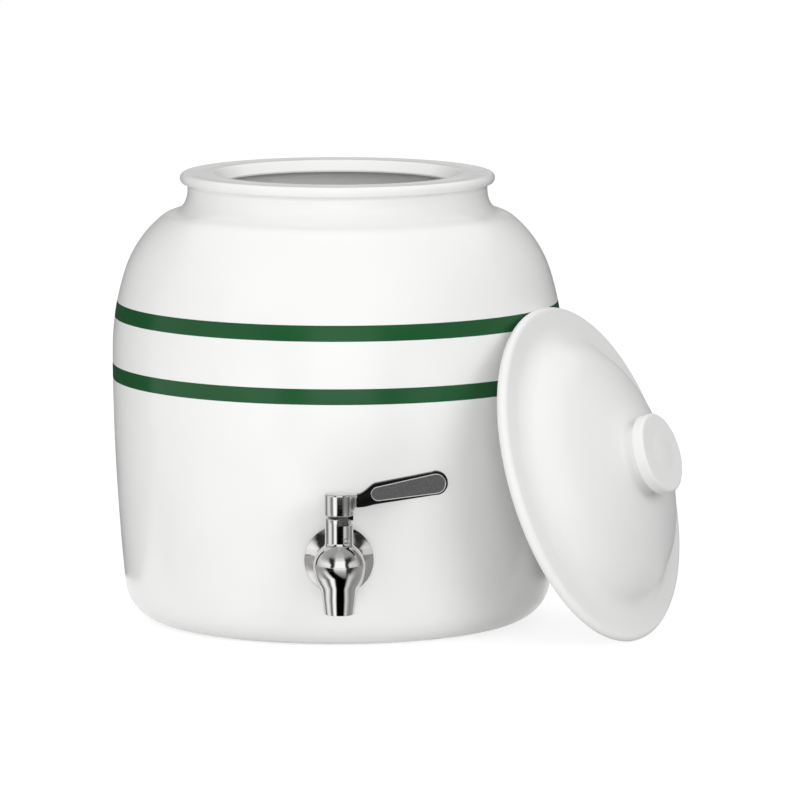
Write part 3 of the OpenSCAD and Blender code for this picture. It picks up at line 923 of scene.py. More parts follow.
    def build(self) -> None:
        """Make the crock and the bands that lie on its wall."""
        profile = chain([0, 0], self.side(0.0), self.rim(), self.hollow())
        piece("crock_porcelain", turned(profile, self.segments), Finish.PORCELAIN, Body.VESSEL, "crock")
        for name, z in self.bands:
            piece(f"{name}_glaze", self.band(z), Finish.GREEN, Body.VESSEL, name)


# The lid


@dataclass
class Lid:
    """The loose lid, standing on its edge against the crock."""

    lid_r: float = 102.0
    edge_t: float = 7.0
    dome_r: float = 150.0
    dome_h: float = 40.0
    side_r: float = 40.0
    side_deg: float = 66.0
    border_round: float = 14.0
    dome_t: float = 7.0
    seat_r: float = 84.0
    collar_r: float = 69.05
    collar_w: float = 5.0
    collar_depth: float = 2.0
    knob_r: float = 24.0
    knob_t: float = 8.5
    knob_edge: float = 1.8
    knob_crown: float = 0.5
    neck_r: float = 18.0
    flare: float = 7.0
    neck_h: float = 0.5
    lean: float = 71.5
    bearing: float = -27.5
    play: float = 0.3
    knob_root: float = 0.4
    collar_root: float = 1.5
    collar_edge: float = 1.2
    seat_edge: float = 1.2

    def top(self) -> np.ndarray:
        """Upper side: half round edge, flat border, hollow curve, steep side, dome, flared neck and knob.

        Returns:
            The points from the edge to the axis.
        """
        e = self.edge_t / 2
        dome_c = np.array([0.0, self.dome_h - self.dome_r])
        side_c = on_arc(dome_c, self.dome_r - self.side_r, self.side_deg)
        rise = self.edge_t + self.border_round - side_c[1]
        run = math.sqrt((self.side_r + self.border_round) ** 2 - rise**2)
        border_deg = slope_deg(rise, run)
        flare_r = self.neck_r + self.flare
        flare_z = dome_c[1] + math.sqrt((self.dome_r + self.flare) ** 2 - flare_r**2)
        flare_deg = slope_deg(flare_z - dome_c[1], flare_r)
        low = flare_z + self.neck_h
        high = low + self.knob_t
        knob = rounded([
            (self.neck_r, flare_z, 0), (self.neck_r, low, self.knob_root),
            (self.knob_r, low, self.knob_edge), (self.knob_r, high, self.knob_edge),
            (self.knob_r / 2, high, 0),
        ])
        knob[:, 1] -= self.knob_crown * ease((knob[:, 1] - low) / self.knob_t)
        r = np.linspace(knob[-1, 0], 0, 12)
        return chain(
            arc((self.lid_r - e, e), e, -90, 90, step=8),
            arc(side_c + (run, rise), self.border_round, 270, 180 + border_deg, step=3),
            arc(side_c, self.side_r, border_deg, self.side_deg, step=2),
            arc(dome_c, self.dome_r, self.side_deg, flare_deg, step=1),
            arc((flare_r, flare_z), self.flare, 180 + flare_deg, 180, step=6),
            knob,
            points(r, high - self.knob_crown * (r / r[0]) ** 2),
        )

    def underside(self) -> np.ndarray:
        """Under side: inner dome, locating collar, inner dome again and the flat seat.

        Returns:
            The points from the axis to the edge.
        """
        crown = self.dome_h - self.dome_t
        inner_r = (self.seat_r**2 + crown**2) / (2 * crown)
        inner = self.collar_r - self.collar_w

        def dome(start: float, end: float, count: int) -> np.ndarray:
            """Points of the inner dome between two radii."""
            r = np.linspace(start, end, count)
            return points(r, crown - inner_r + np.sqrt(inner_r**2 - r**2))

        near, far = dome(0, inner, count=24), dome(self.collar_r, self.seat_r, count=9)
        collar = rounded([
            (*near[-2], 0), (*near[-1], self.collar_root), (inner, -self.collar_depth, self.collar_edge),
            (self.collar_r, -self.collar_depth, self.collar_edge), (*far[0], self.collar_root), (*far[1], 0),
        ])
        seat = rounded([(*far[-2], 0), (*far[-1], self.seat_edge), (self.lid_r - self.edge_t / 2, 0, 0)])
        return chain(near[:-1], collar, far[1:-1], seat)

    def placing(self) -> np.ndarray:
        """Lean the lid so that its edge stands on the floor and its top edge lies against the shoulder.

        Returns:
            The matrix from the lid's own axes to the part's frame.
        """
        e, lean, reach = self.edge_t / 2, math.radians(self.lean), self.lid_r - self.edge_t / 2
        c, s = math.cos(lean), math.sin(lean)
        z = reach * s - e * c + e
        top_z = z + reach * s + e * c
        crock = Vessel()
        gap = crock.shoulder_r + e + self.play
        top_r = crock.shoulder_c[0] + math.sqrt(gap**2 - (top_z - crock.belly_z) ** 2)
        return spin(Axis.Z, self.bearing) @ shift(top_r + reach * c - e * s, 0, z) @ spin(Axis.Y, self.lean)

    def build(self) -> None:
        """Make the lid where it leans."""
        surface = turned(chain(self.underside(), self.top()), segments=256).placed(self.placing())
        # The lid's finish holds painted shade: a tone a little darker than the crock's porcelain.
        piece("lid_porcelain", surface, Finish.LID, Body.LID, "lid")


# The tap


@dataclass
class TapBody:
    """The fixed part of the tap: barrel, bulb, spout, inlet neck, shank, escutcheon and pin."""

    tap_z: float = 54.5
    valve_y: float = 159.491
    wall_y: float = 130.791
    barrel_r: float = 8.2
    barrel_h: float = 28.7
    bulb_r: float = 15.1
    bulb_fillet: float = 3.0
    drop_r: float = 24.0
    spout_drop: float = 28.0
    outlet_r: float = 8.75
    taper: float = 7.0
    crease: float = 18.0
    outlet_bore_r: float = 6.9
    outlet_bore_h: float = 13.5
    port_r: float = 5.6
    bore_r: float = 6.2
    bore_foot: float = -8.9
    notch_depth: float = 4.1
    notch: Pair = (-94.5, 30.5)
    neck_r: float = 10.6
    gasket_t: float = 3.0
    escutcheon_r: float = 20.3
    escutcheon_h: float = 4.9
    escutcheon_edge: float = 1.3
    escutcheon_dome: float = 42.0
    shank_r: float = 7.9
    shank_bore_r: float = 4.6
    shank_hole_r: float = 8.0
    socket: float = 8.0
    shank_tail: float = 107.2
    thread_pitch: float = 1.81
    thread_depth: float = 0.8
    pin_z: float = 15.9
    pin_bearing: float = -60.0
    pin_r: float = 1.75
    pin_h: float = 1.7
    pin_seat: float = 0.3
    pin_shaft_r: float = 1.1
    pin_root: float = 5.1
    pin_bulge: float = 0.96
    lip_round: float = 0.5
    outlet_gap: float = 0.3
    collar_rounds: Pair = (0.5, 0.3)
    neck_swell: float = 1.2
    swell_from: float = 0.25
    swell_run: float = 0.5
    neck_stop: float = 9.0
    neck_gap: float = 0.05
    thread_steps: int = 10
    thread_fade: float = 2.0
    escutcheon_rounds: Pair = (0.3, 0.5)

    def __post_init__(self) -> None:
        """Work out the places along the inlet, counted from the crock's axis."""
        self.plate_y = self.wall_y + self.gasket_t
        self.neck_y = self.plate_y + self.escutcheon_h
        self.notch_z = self.barrel_h - self.notch_depth

    def at_valve(self) -> np.ndarray:
        """The matrix from the valve's axis, level with the inlet, to the part's frame."""
        return shift(0, -self.valve_y, self.tap_z)

    def at_inlet(self, y: float) -> np.ndarray:
        """The matrix that lays a turned shape along the inlet, pointing to the front from distance y."""
        return shift(0, -y, self.tap_z) @ spin(Axis.X, 90)

    def outside(self) -> np.ndarray:
        """Spout, its crease, the bulb's two arcs, the hollow curve above it and the barrel up to the notch.

        The crease's circle touches the spout's side and the bulb's lower arc. So its centre lies on a line
        beside the spout, as far from the arc's centre as the two radii together.

        Returns:
            The points from the outlet up.
        """
        side = on_arc((0, 0), 1.0, 90 - self.taper)
        out = np.array([side[1], -side[0]])
        drop_c = np.array([self.bulb_r - self.drop_r, 0.0])
        foot = np.array([self.outlet_r, -self.spout_drop]) + self.crease * out - drop_c
        along = foot @ side
        span = along + math.sqrt(along**2 + (self.drop_r + self.crease) ** 2 - foot @ foot)
        crease_c = drop_c + foot - span * side
        crease_deg = slope_deg(crease_c[1], crease_c[0] - drop_c[0])
        fillet_r = self.barrel_r + self.bulb_fillet
        fillet_z = math.sqrt((self.bulb_r + self.bulb_fillet) ** 2 - fillet_r**2)
        fillet_deg = slope_deg(fillet_z, fillet_r)
        lip = rounded([
            (self.outlet_bore_r, -self.spout_drop, 0), (self.outlet_r, -self.spout_drop, self.lip_round),
            (*(crease_c - self.crease * out), 0),
        ])
        return chain(
            lip,
            arc(crease_c, self.crease, 180 - self.taper, 180 + crease_deg, step=5),
            arc(drop_c, self.drop_r, crease_deg, 0, step=1.2),
            arc((0, 0), self.bulb_r, 0, fillet_deg, step=1.8),
            arc((fillet_r, fillet_z), self.bulb_fillet, 180 + fillet_deg, 180, step=5),
            [self.barrel_r, self.notch_z],
        )

    def bores(self) -> np.ndarray:
        """Valve bore, port and outlet bore.

        Returns:
            The points from the notch's floor down.
        """
        outlet_top = self.outlet_bore_h - self.spout_drop
        return np.array([
            (self.bore_r, self.notch_z), (self.bore_r, self.bore_foot), (self.port_r, self.bore_foot),
            (self.port_r, outlet_top), (self.outlet_bore_r, outlet_top),
            (self.outlet_bore_r, self.outlet_gap - self.spout_drop),
        ])

    def collar(self) -> Surface:
        """The barrel's wall beside the notch: its section carried round between the notch's two ends.

        Returns:
            The wall's surface.
        """
        outer_round, inner_round = self.collar_rounds
        section = rounded([
            (self.bore_r, self.notch_z, 0), (self.barrel_r, self.notch_z, 0),
            (self.barrel_r, self.barrel_h, outer_round), (self.bore_r, self.barrel_h, inner_round),
        ], closed=True, step=4)
        return carried_round(section, self.notch[1], self.notch[0] + 360, count=97)

    def inlet_neck(self) -> Surface:
        """The neck from the bulb to the escutcheon: a turned ring, a little wider where it meets the bulb.

        Returns:
            The ring's surface.
        """
        length = self.valve_y - self.neck_y - self.neck_stop
        t = np.linspace(0, 1, 14)
        swell = self.neck_swell * ease((t - self.swell_from) / self.swell_run)
        outer = points(self.neck_r + swell, self.neck_gap + length * t)
        inner = points(self.shank_r, np.array([length, self.neck_gap]))
        return turned(chain(outer, inner), segments=96).placed(self.at_inlet(self.neck_y))

    def shank(self) -> Surface:
        """The hollow shank: radius less a cosine thread whose phase runs with the length and the turn.

        Returns:
            The shank's surface.
        """
        y = np.arange(self.shank_tail, self.neck_y + self.socket, self.thread_pitch / self.thread_steps)
        t = np.linspace(0, 2 * np.pi, 72, endpoint=False)
        wave = 0.5 - 0.5 * np.cos(2 * np.pi * y[:, None] / self.thread_pitch - t)
        fade = np.minimum(1, np.minimum(y - y[0], y[-1] - y) / self.thread_fade)[:, None]
        r = self.shank_r - self.thread_depth * np.where(fade < 1, np.maximum(wave, 1 - fade), wave)
        r = np.vstack([r, np.full((2, len(t)), self.shank_bore_r)])
        y = np.r_[y, y[-1], y[0]][:, None]
        return carried(points(r * np.cos(t), -y, self.tap_z + r * np.sin(t)), closed=True)

    def escutcheon(self) -> Surface:
        """The wall plate: a shallow dome with a rounded edge, turned about the inlet.

        Returns:
            The plate's surface.
        """
        d, e = self.escutcheon_dome, self.escutcheon_edge
        back_round, front_round = self.escutcheon_rounds
        centre = e - math.sqrt(d**2 - self.escutcheon_r**2)
        edge = math.degrees(math.asin((e - centre) / d))
        inner = math.degrees(math.asin((self.escutcheon_h - centre) / d))
        dome = arc((0, centre), d, edge, inner, step=0.8)
        rim = rounded([
            (self.shank_hole_r, 0, 0), (self.escutcheon_r, 0, back_round),
            (*dome[0], front_round), (*dome[1], 0),
        ])
        profile = chain(rim, dome[2:], [self.shank_hole_r, self.escutcheon_h])
        return turned(profile, segments=160).placed(self.at_inlet(self.plate_y))

    def pin(self) -> Surface:
        """The retaining pin: a slim shaft under a low domed head.

        Returns:
            The pin's surface.
        """
        r = np.linspace(self.pin_r, 0, 12)
        dome = points(r, self.pin_h * np.sqrt(1 - self.pin_bulge * (r / self.pin_r) ** 2))
        seat = self.barrel_r - self.pin_seat
        root = self.pin_root - seat
        profile = chain([0, root], [self.pin_shaft_r, root], [self.pin_shaft_r, 0], [self.pin_r, 0], dome)
        place = self.at_valve() @ shift(0, 0, self.pin_z) @ spin(Axis.Z, self.pin_bearing)
        return turned(profile, segments=48).placed(place @ spin(Axis.Y, 90) @ shift(0, 0, seat))

    def build(self) -> None:
        """Make the fixed pieces of the tap."""
        body = turned(chain(self.outside(), self.bores()), segments=192)
        main = joined(body.placed(self.at_valve()), self.collar().placed(self.at_valve()), self.inlet_neck())
        piece("tap_body", main, Finish.STEEL, Body.VESSEL, "faucet_body")
        piece("tap_escutcheon", self.escutcheon(), Finish.STEEL, Body.VESSEL, "escutcheon")
        piece("tap_shank", self.shank(), Finish.STEEL, Body.VESSEL, "threaded_shank")
        piece("tap_pin", self.pin(), Finish.STEEL, Body.VESSEL, "retaining_pin")


@dataclass
class Lever:
    """The turning part of the tap: hub, arm, stop tab, grooved stem, grip and inlays."""

    hub_r: float = 8.65
    hub_h: float = 13.1
    hub_z: float = 30.1
    hub_edge: float = 0.9
    hub_crown: float = 0.3
    drive_r: float = 4.4
    drive_h: float = 9.4
    arm_reach: float = 10.3
    arm_h: float = 7.5
    arm_w: float = 7.0
    arm_flare: float = 2.9
    hub_chamfer: float = 0.7
    tab_h: float = 3.0
    tab: Pair = (-2.0, 28.0)
    tab_r: Pair = (6.3, 8.2)
    stem_r: float = 5.4
    stem_rib: float = 0.35
    stem_pitch: float = 1.1
    heel_reach: float = 22.6
    heel_h: float = 12.7
    heel_lift: float = 4.4
    tip_end: float = 63.1
    tip_h: float = 14.0
    rise: float = 10.0
    grip_t: float = 8.4
    grip_round: float = 2.6
    root_round: float = 1.4
    inlay_heel: float = 7.4
    inlay_tip: float = 10.7
    inlay_proud: float = 0.1
    inlay_inset: tuple[float, ...] = (0.7, 0.55, 0.1, 0.0, 0.0, 0.05)
    inlay_drop: tuple[float, ...] = (0.0, 0.0, 0.12, 0.3, 0.6, 0.9)
    bead_r: float = 0.32
    bead_out: float = 0.7
    bead_flat: float = 0.6
    hub_rounds: Triple = (0.3, 0.6, 2.0)
    crown_share: float = 0.55
    arm_root: float = 5.0
    arm_corner: float = 0.1
    flare_from: float = 5.6
    tab_rounds: Pair = (0.3, 0.4)
    tab_sunk: float = 0.7
    stem_foot: float = 24.4
    stem_gap: float = 0.1
    stem_proud: float = 0.03
    stem_wall: float = 0.3
    stem_crest: float = 0.6
    grip_spread: float = 0.019
    swell_stop: float = 1.5
    cap_deg: float = 89.0
    cap_gap: float = 0.4

    def __post_init__(self) -> None:
        """Work out the grip's heel and tip from the arm."""
        self.arm_z = self.hub_z + self.hub_h - self.hub_chamfer - self.arm_h / 2
        self.heel = np.array([self.heel_reach, self.arm_z + self.heel_lift])
        tip_x = self.tip_end - self.tip_h / 2
        lift = (tip_x - self.heel_reach) * math.tan(math.radians(self.rise))
        self.tip = np.array([tip_x, self.heel[1] + lift])
        self.place = TapBody().at_valve()

    def hub(self) -> Surface:
        """Hub, arm and stop tab: a turned cap with its drive hole, a swept arm and a swept tab.

        Returns:
            The three as one surface.
        """
        top = self.hub_z + self.hub_h
        drive = self.hub_z + self.drive_h
        bore_round, foot_round, crown_round = self.hub_rounds
        cap = rounded([
            (self.drive_r, drive, 0), (self.drive_r, self.hub_z, bore_round),
            (self.hub_r, self.hub_z, foot_round), (self.hub_r, top - self.hub_crown, self.hub_edge),
            (self.hub_r * self.crown_share, top, crown_round), (0, top, 0),
        ])
        return joined(turned(chain([0, drive], cap), segments=144), self.arm(), self.stop_tab())

    def arm(self) -> Surface:
        """The arm: rounded sections along x, narrowing from the hub, over a quarter circle up from its side.

        Returns:
            The arm's surface.
        """
        foot, top = self.arm_z - self.arm_h / 2, self.arm_z + self.arm_h / 2
        curve = self.arm_reach - self.hub_r
        bend = 1 - np.cos(np.linspace(0.15, np.pi / 2, 9))
        x = np.r_[np.linspace(self.arm_root, self.hub_r, 12), self.hub_r + curve * bend]
        ahead = np.minimum(x - self.arm_reach, 0)
        low = foot - curve + np.sqrt(np.maximum(curve**2 - ahead**2, 0)) * (x > self.hub_r)
        corners = ((-0.5, 0), (0.5, 0), (0.5, 1), (-0.5, 1))
        section = rounded([(*corner, self.arm_corner) for corner in corners], closed=True, step=3)
        flare = 1 - ease((x - self.flare_from) / (self.arm_reach - self.flare_from))
        y = section[:, 0] * (self.arm_w + 2 * self.arm_flare * flare)[:, None]
        z = low[:, None] + section[:, 1] * (top - low)[:, None]
        return carried(points(x[:, None], y, z))

    def stop_tab(self) -> Surface:
        """The tab in the notch: a rounded section carried over the tab's angle.

        Returns:
            The tab's surface.
        """
        (inner, outer), (inner_round, outer_round) = self.tab_r, self.tab_rounds
        foot, top = self.hub_z - self.tab_h, self.hub_z + self.tab_sunk
        section = rounded([
            (inner, foot, inner_round), (outer, foot, outer_round), (outer, top, 0), (inner, top, 0),
        ], closed=True, step=20)
        return carried_round(section, *self.tab, count=17)

    def stem_ribs(self) -> Surface:
        """The grooved stem seen in the notch: a sleeve whose radius swells with a raised cosine of height.

        Returns:
            The sleeve's surface.
        """
        z = np.linspace(self.stem_foot, self.hub_z - self.stem_gap, 97)
        wave = 0.5 - 0.5 * np.cos(2 * np.pi * (z - z[0]) / self.stem_pitch)
        outer = points(self.stem_r + self.stem_proud + self.stem_rib * wave**self.stem_crest, z)
        inner = points(self.stem_r - self.stem_wall, z[[-1, 0]])
        return turned(chain(outer, inner), segments=72)

    def grip_outline(self, count: int = 90) -> np.ndarray:
        """The grip's outline: straight sides up to the tip's circle, and easing in to the arm at the root.

        Args:
            count: Number of points on each side.

        Returns:
            The upper side from root to tip, then the lower side back.
        """
        r, slope = self.tip_h / 2, math.radians(self.rise)
        x = np.linspace(self.arm_reach, self.tip[0], count)
        swell = ease((x - self.arm_reach) / (self.heel_reach - self.swell_stop - self.arm_reach))
        cap = arc(self.tip, r, self.rise + self.cap_deg, self.rise - self.cap_deg, step=3)
        half = len(cap) // 2
        sides = []
        for sign, end in ((1, cap[:half]), (-1, cap[half:][::-1])):
            heel = self.heel[1] + sign * math.cos(slope) * self.heel_h / 2
            line = heel + (x - self.heel[0]) * math.tan(slope + sign * self.grip_spread)
            z = (self.arm_z + sign * self.arm_h / 2) * (1 - swell) + line * swell
            keep = x < self.tip[0] - sign * r * math.sin(slope) - self.cap_gap
            sides.append(resampled(chain(points(x, z)[keep], end), count))
        return np.vstack([sides[0], sides[1][::-1]])

    def grip(self) -> Surface:
        """The grip: its outline with quarter-round edges, thinner and sharper at the root.

        Returns:
            The grip's surface.
        """
        outline = self.grip_outline()
        swell = ease((outline[:, 0] - self.arm_reach) / (self.heel_reach - self.arm_reach))
        thick = self.arm_w + (self.grip_t - self.arm_w) * swell
        edge = self.root_round + (self.grip_round - self.root_round) * swell
        a = np.radians(np.linspace(0, 90, 8))[:, None]
        inset = edge * (1 - np.sin(a))
        depth = thick / 2 - edge * (1 - np.cos(a))
        return plate(outline, np.vstack([inset, inset[::-1]]), np.vstack([-depth, depth[::-1]]))

    def inlay_outline(self, out: float, count: int = 80) -> np.ndarray:
        """The inlay's outline: two circles joined by their tangents, moved out by a distance.

        Args:
            out: The distance moved out.
            count: Number of points on each side.

        Returns:
            The upper side from heel to tip, then the lower side back.
        """
        small, large = self.inlay_heel / 2 + out, self.inlay_tip / 2 + out
        run = self.tip - self.heel
        axis = slope_deg(run[1], run[0])
        lean = math.degrees(math.asin((large - small) / np.linalg.norm(run)))
        sides = []
        for sign in (1, -1):
            heel = arc(self.heel, small, axis + 180 - sign, axis + 180 - sign * (90 - lean), step=6)
            tip = arc(self.tip, large, axis + sign * (90 + lean), axis + sign, step=4)
            sides.append(resampled(chain(heel, tip), count))
        return np.vstack([sides[0], sides[1][::-1]])

    def inlay(self, side: Side) -> Surface:
        """An inlay plate with bevelled edges, a little proud of the grip's face.

        Args:
            side: The face that it lies in.

        Returns:
            The plate's surface.
        """
        face = self.grip_t / 2 + self.inlay_proud
        inset = np.array(self.inlay_inset)[:, None]
        depth = side.value * (face - np.array(self.inlay_drop))[:, None]
        return plate(self.inlay_outline(0.0), inset, depth)

    def bead(self, side: Side) -> Surface:
        """The bright line round an inlay: a small flattened bead carried along its outline.

        Args:
            side: The face that it lies on.

        Returns:
            The bead's surface.
        """
        path = self.inlay_outline(self.bead_r * self.bead_out)
        a = np.linspace(0, 2 * np.pi, 10, endpoint=False)
        flat = path[:, None] + outline_normals(path)[:, None] * (self.bead_r * np.cos(a))[None, :, None]
        y = side.value * (self.grip_t / 2 + self.bead_r * self.bead_flat * np.sin(a))
        return carried(points(flat[..., 0], y, flat[..., 1]), closed=True)

    def add(self, name: str, surface: Surface, finish: Finish, stands_for: str = "") -> None:
        """Put a surface made round the valve's axis into the scene, on the lever's body."""
        piece(name, surface.placed(self.place), finish, Body.LEVER, stands_for)

    def build(self) -> None:
        """Make the turning pieces of the tap."""
        self.add("lever_hub_cap", self.hub(), Finish.STEEL, "lever_hub")
        self.add("stem_ribs", self.stem_ribs(), Finish.SCREW)
        self.add("lever_handle", self.grip(), Finish.GRIP, "lever_grip")
        for side in Side:
            name = f"{side.name.lower()}_inlay"
            self.add(f"{name}_plate", self.inlay(side), Finish.INLAY, name)
            self.add(f"{name}_bead", self.bead(side), Finish.STEEL)


@dataclass
class Fittings:
    """The CAD pieces that stay as they are and get a finish."""

    finishes: tuple[tuple[str, Finish], ...] = (
        ("outer_gasket", Finish.GREY_SEAL), ("inner_gasket", Finish.GREY_SEAL),
        ("flat_washer", Finish.STEEL), ("lock_nut", Finish.STEEL), ("inlet_seat", Finish.SEAT),
        ("valve_stem", Finish.STEEL), ("lower_o_ring", Finish.BLACK_SEAL),
        ("upper_o_ring", Finish.BLACK_SEAL), ("hub_set_screw", Finish.SCREW),
    )

    def dress(self) -> None:
        """Give each piece its material."""
        for name, finish in self.finishes:
            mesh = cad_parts[name].data
            mesh.materials.clear()
            mesh.materials.append(paint(finish))
            LOG.info("%s: finished as %s", name, finish.name.lower())


# The studio


# Stripes of the cards from left to right: the bearing in degrees, 0 to the front, and the light's strength.
LEVEL: Stripes = (
    (-118, 0.4), (-105, 0.25), (-92, 1.0), (-80, 1.3), (-70, 1.1), (-60, 0.5), (-52, 0.15), (-45, 0.6),
    (-38, 1.5), (-26, 1.5), (-17, 0.05), (-12, 0.0), (20, 0.0), (24, 0.0), (28, 0.0), (32, 0.1),
    (40, 0.85), (48, 0.95), (58, 0.6), (68, 0.36), (85, 0.4), (118, 0.52),
)
HUB: Stripes = (
    (-118, 0.4), (-105, 0.5), (-97, 0.95), (-84, 1.1), (-74, 0.7), (-66, 0.4), (-54, 0.2), (-46, 1.0),
    (-40, 1.6), (-21, 1.5), (-14, 0.1), (-9, 0.0), (22, 0.0), (29, 0.18), (42, 0.35), (54, 0.36),
    (66, 0.25), (78, 0.12), (92, 0.1), (106, 0.2), (118, 0.4),
)
SLANT_3: Stripes = (
    (-118, 0.4), (-110, 0.4), (-102, 0.7), (-92, 0.9), (-82, 0.8), (-72, 0.5), (-62, 0.3), (-54, 0.7),
    (-47, 1.3), (-37, 1.3), (-29, 0.05), (-25, 0.0), (0, 0.0), (10, 0.25), (26, 0.28), (32, 0.08),
    (42, 0.85), (52, 0.9), (62, 0.6), (74, 0.4), (90, 0.4), (118, 0.5),
)
SLANT_2: Stripes = (
    (-118, 0.5), (-112, 0.5), (-106, 0.5), (-98, 0.55), (-90, 0.55), (-80, 0.5), (-70, 0.55), (-64, 0.8),
    (-58, 1.0), (-50, 0.9), (-42, 0.05), (-38, 0.0), (-20, 0.0), (-12, 0.5), (24, 0.6), (30, 0.06),
    (44, 0.06), (56, 0.5), (66, 0.5), (78, 0.4), (95, 0.42), (118, 0.5),
)
SLANT_1: Stripes = (
    (-118, 0.5), (-112, 0.5), (-106, 0.5), (-98, 0.5), (-90, 0.5), (-82, 0.5), (-74, 0.5), (-68, 0.5),
    (-62, 0.5), (-56, 0.4), (-48, 0.04), (-44, 0.02), (-25, 0.03), (-17, 0.9), (23, 1.0), (30, 0.05),
    (50, 0.05), (62, 0.25), (72, 0.35), (82, 0.42), (98, 0.45), (118, 0.5),
)
MIDDLE: Stripes = (
    (-118, 0.6), (-112, 0.6), (-106, 0.6), (-98, 0.6), (-90, 0.6), (-82, 0.6), (-76, 0.6), (-70, 0.55),
    (-64, 0.5), (-58, 0.35), (-50, 0.03), (-46, 0.02), (-26, 0.05), (-17, 1.5), (24, 1.5), (31, 0.05),
    (54, 0.05), (66, 0.3), (74, 0.35), (84, 0.42), (100, 0.45), (118, 0.5),
)
EVEN: Stripes = (
    (-118, 0.7), (-60, 1.2), (-41, 1.2), (-37, 0.05), (-26, 0.05), (-17, 1.5), (24, 1.5), (30, 0.05),
    (41, 0.05), (45, 0.9), (70, 0.9), (118, 0.6),
)
LOW: Stripes = (
    (-118, 0.8), (-80, 1.2), (-50, 1.4), (-39, 1.3), (-34, 0.05), (-23, 0.05), (-16, 1.5), (24, 1.5),
    (28, 0.06), (37, 0.06), (42, 1.0), (70, 1.0), (90, 0.7), (118, 0.6),
)
MID: Stripes = (
    (-118, 0.8), (-80, 1.0), (-52, 1.2), (-45, 0.8), (-40, 0.04), (-25, 0.04), (-16, 1.5), (24, 1.5),
    (29, 0.1), (44, 0.05), (52, 0.8), (70, 0.8), (90, 0.6), (118, 0.5),
)
RAISED: Stripes = (
    (-118, 0.7), (-80, 0.7), (-60, 0.8), (-50, 0.4), (-44, 0.02), (-28, 0.05), (-21, 0.4), (-16, 1.5),
    (24, 1.5), (29, 0.5), (34, 0.03), (56, 0.05), (68, 0.35), (85, 0.42), (118, 0.5),
)
HIGH: Stripes = (
    (-118, 0.6), (-70, 0.5), (-56, 0.3), (-50, 0.02), (-28, 0.05), (-20, 0.7), (-14, 1.1), (22, 1.1),
    (29, 0.4), (34, 0.03), (62, 0.05), (74, 0.28), (118, 0.5),
)
CROWN: Stripes = ((-118, 0.55), (-40, 0.45), (-20, 0.7), (25, 0.7), (45, 0.45), (118, 0.5))
SOFT: Stripes = ((-118, 0.5), (118, 0.5))
SHADE: Stripes = ((-180, 0.05), (180, 0.05))
DIM: Stripes = ((150, 0.3), (210, 0.3))
# Rows of a dark card: the distance from its spot, the height and the stripes.
FLAG = ((0.2, 0.002, SHADE), (1.4, 0.002, SHADE), (1.4, 1.2, SHADE))


def aimed(obj: bpy.types.Object, place: Triple, target: Triple) -> None:
    """Put a lamp or the camera in its place and point it at a target."""
    obj.location = place
    obj.rotation_euler = (Vector(target) - Vector(place)).to_track_quat("-Z", "Y").to_euler()


@dataclass
class Lamp:
    """A soft rectangular lamp that points at the part."""

    name: str
    place: Triple
    size: Pair
    watts: float
    aim: Triple = (0.03, 0.0, 0.13)

    def build(self) -> None:
        """Make the lamp, which lights the part but shows neither to the camera nor in mirrors."""
        light = bpy.data.lights.new(self.name, "AREA")
        light.shape = "RECTANGLE"
        light.size, light.size_y = self.size
        light.energy = self.watts
        obj = added(self.name, light)
        aimed(obj, self.place, self.aim)
        obj.visible_camera = obj.visible_glossy = False


@dataclass
class Card:
    """A curved card round a spot, with light and dark stripes, that only shiny surfaces mirror."""

    name: str
    rows: tuple[tuple[float, float, Stripes], ...]
    bearings: Pair = (-118.0, 118.0)
    spot: Pair = (0.0, -0.1595)
    columns: int = 237
    between: int = 7

    def all_rows(self) -> list[tuple[float, float, np.ndarray]]:
        """The card's rows, with more between two that have the same number of stripes, which slide across.

        Returns:
            Each row's distance, height and stripes.
        """
        rows = [(far, high, np.array(stripes)) for far, high, stripes in self.rows]
        full = rows[:1]
        for one, two in zip(rows, rows[1:]):
            if len(one[2]) == len(two[2]):
                for t in np.linspace(0, 1, self.between + 2)[1:-1]:
                    full.append(tuple(a * (1 - t) + b * t for a, b in zip(one, two)))
            full.append(two)
        return full

    def build(self) -> None:
        """Make the card: each row is an arc at its distance and height, toned by its stripes."""
        rows = self.all_rows()
        deg = np.linspace(*self.bearings, self.columns)
        a = np.radians(deg)
        far, high = np.array([row[:2] for row in rows]).T[:, :, None]
        tone = np.array([np.interp(deg, *stripes.T) for _, _, stripes in rows])
        x, y = self.spot[0] + far * np.sin(a), self.spot[1] - far * np.cos(a)
        verts = points(x, y, high).reshape(-1, 3)
        n = self.columns
        i = (np.arange(len(rows) - 1)[:, None] * n + np.arange(n - 1)).ravel()
        mesh = bpy.data.meshes.new(self.name)
        mesh.from_pydata(verts.tolist(), [], np.stack([i, i + 1, i + n + 1, i + n], -1).tolist())
        mesh.attributes.new("tone", "FLOAT", "POINT").data.foreach_set("value", tone.ravel())
        g = Graph(bpy.data.materials.new(self.name))
        source = g.add("Attribute")
        source.attribute_name = "tone"
        mesh.materials.append(g.close(g.add("Emission", Color=WHITE, Strength=source.outputs["Fac"])))
        obj = added(self.name, mesh)
        obj.visible_camera = obj.visible_diffuse = obj.visible_shadow = obj.visible_transmission = False


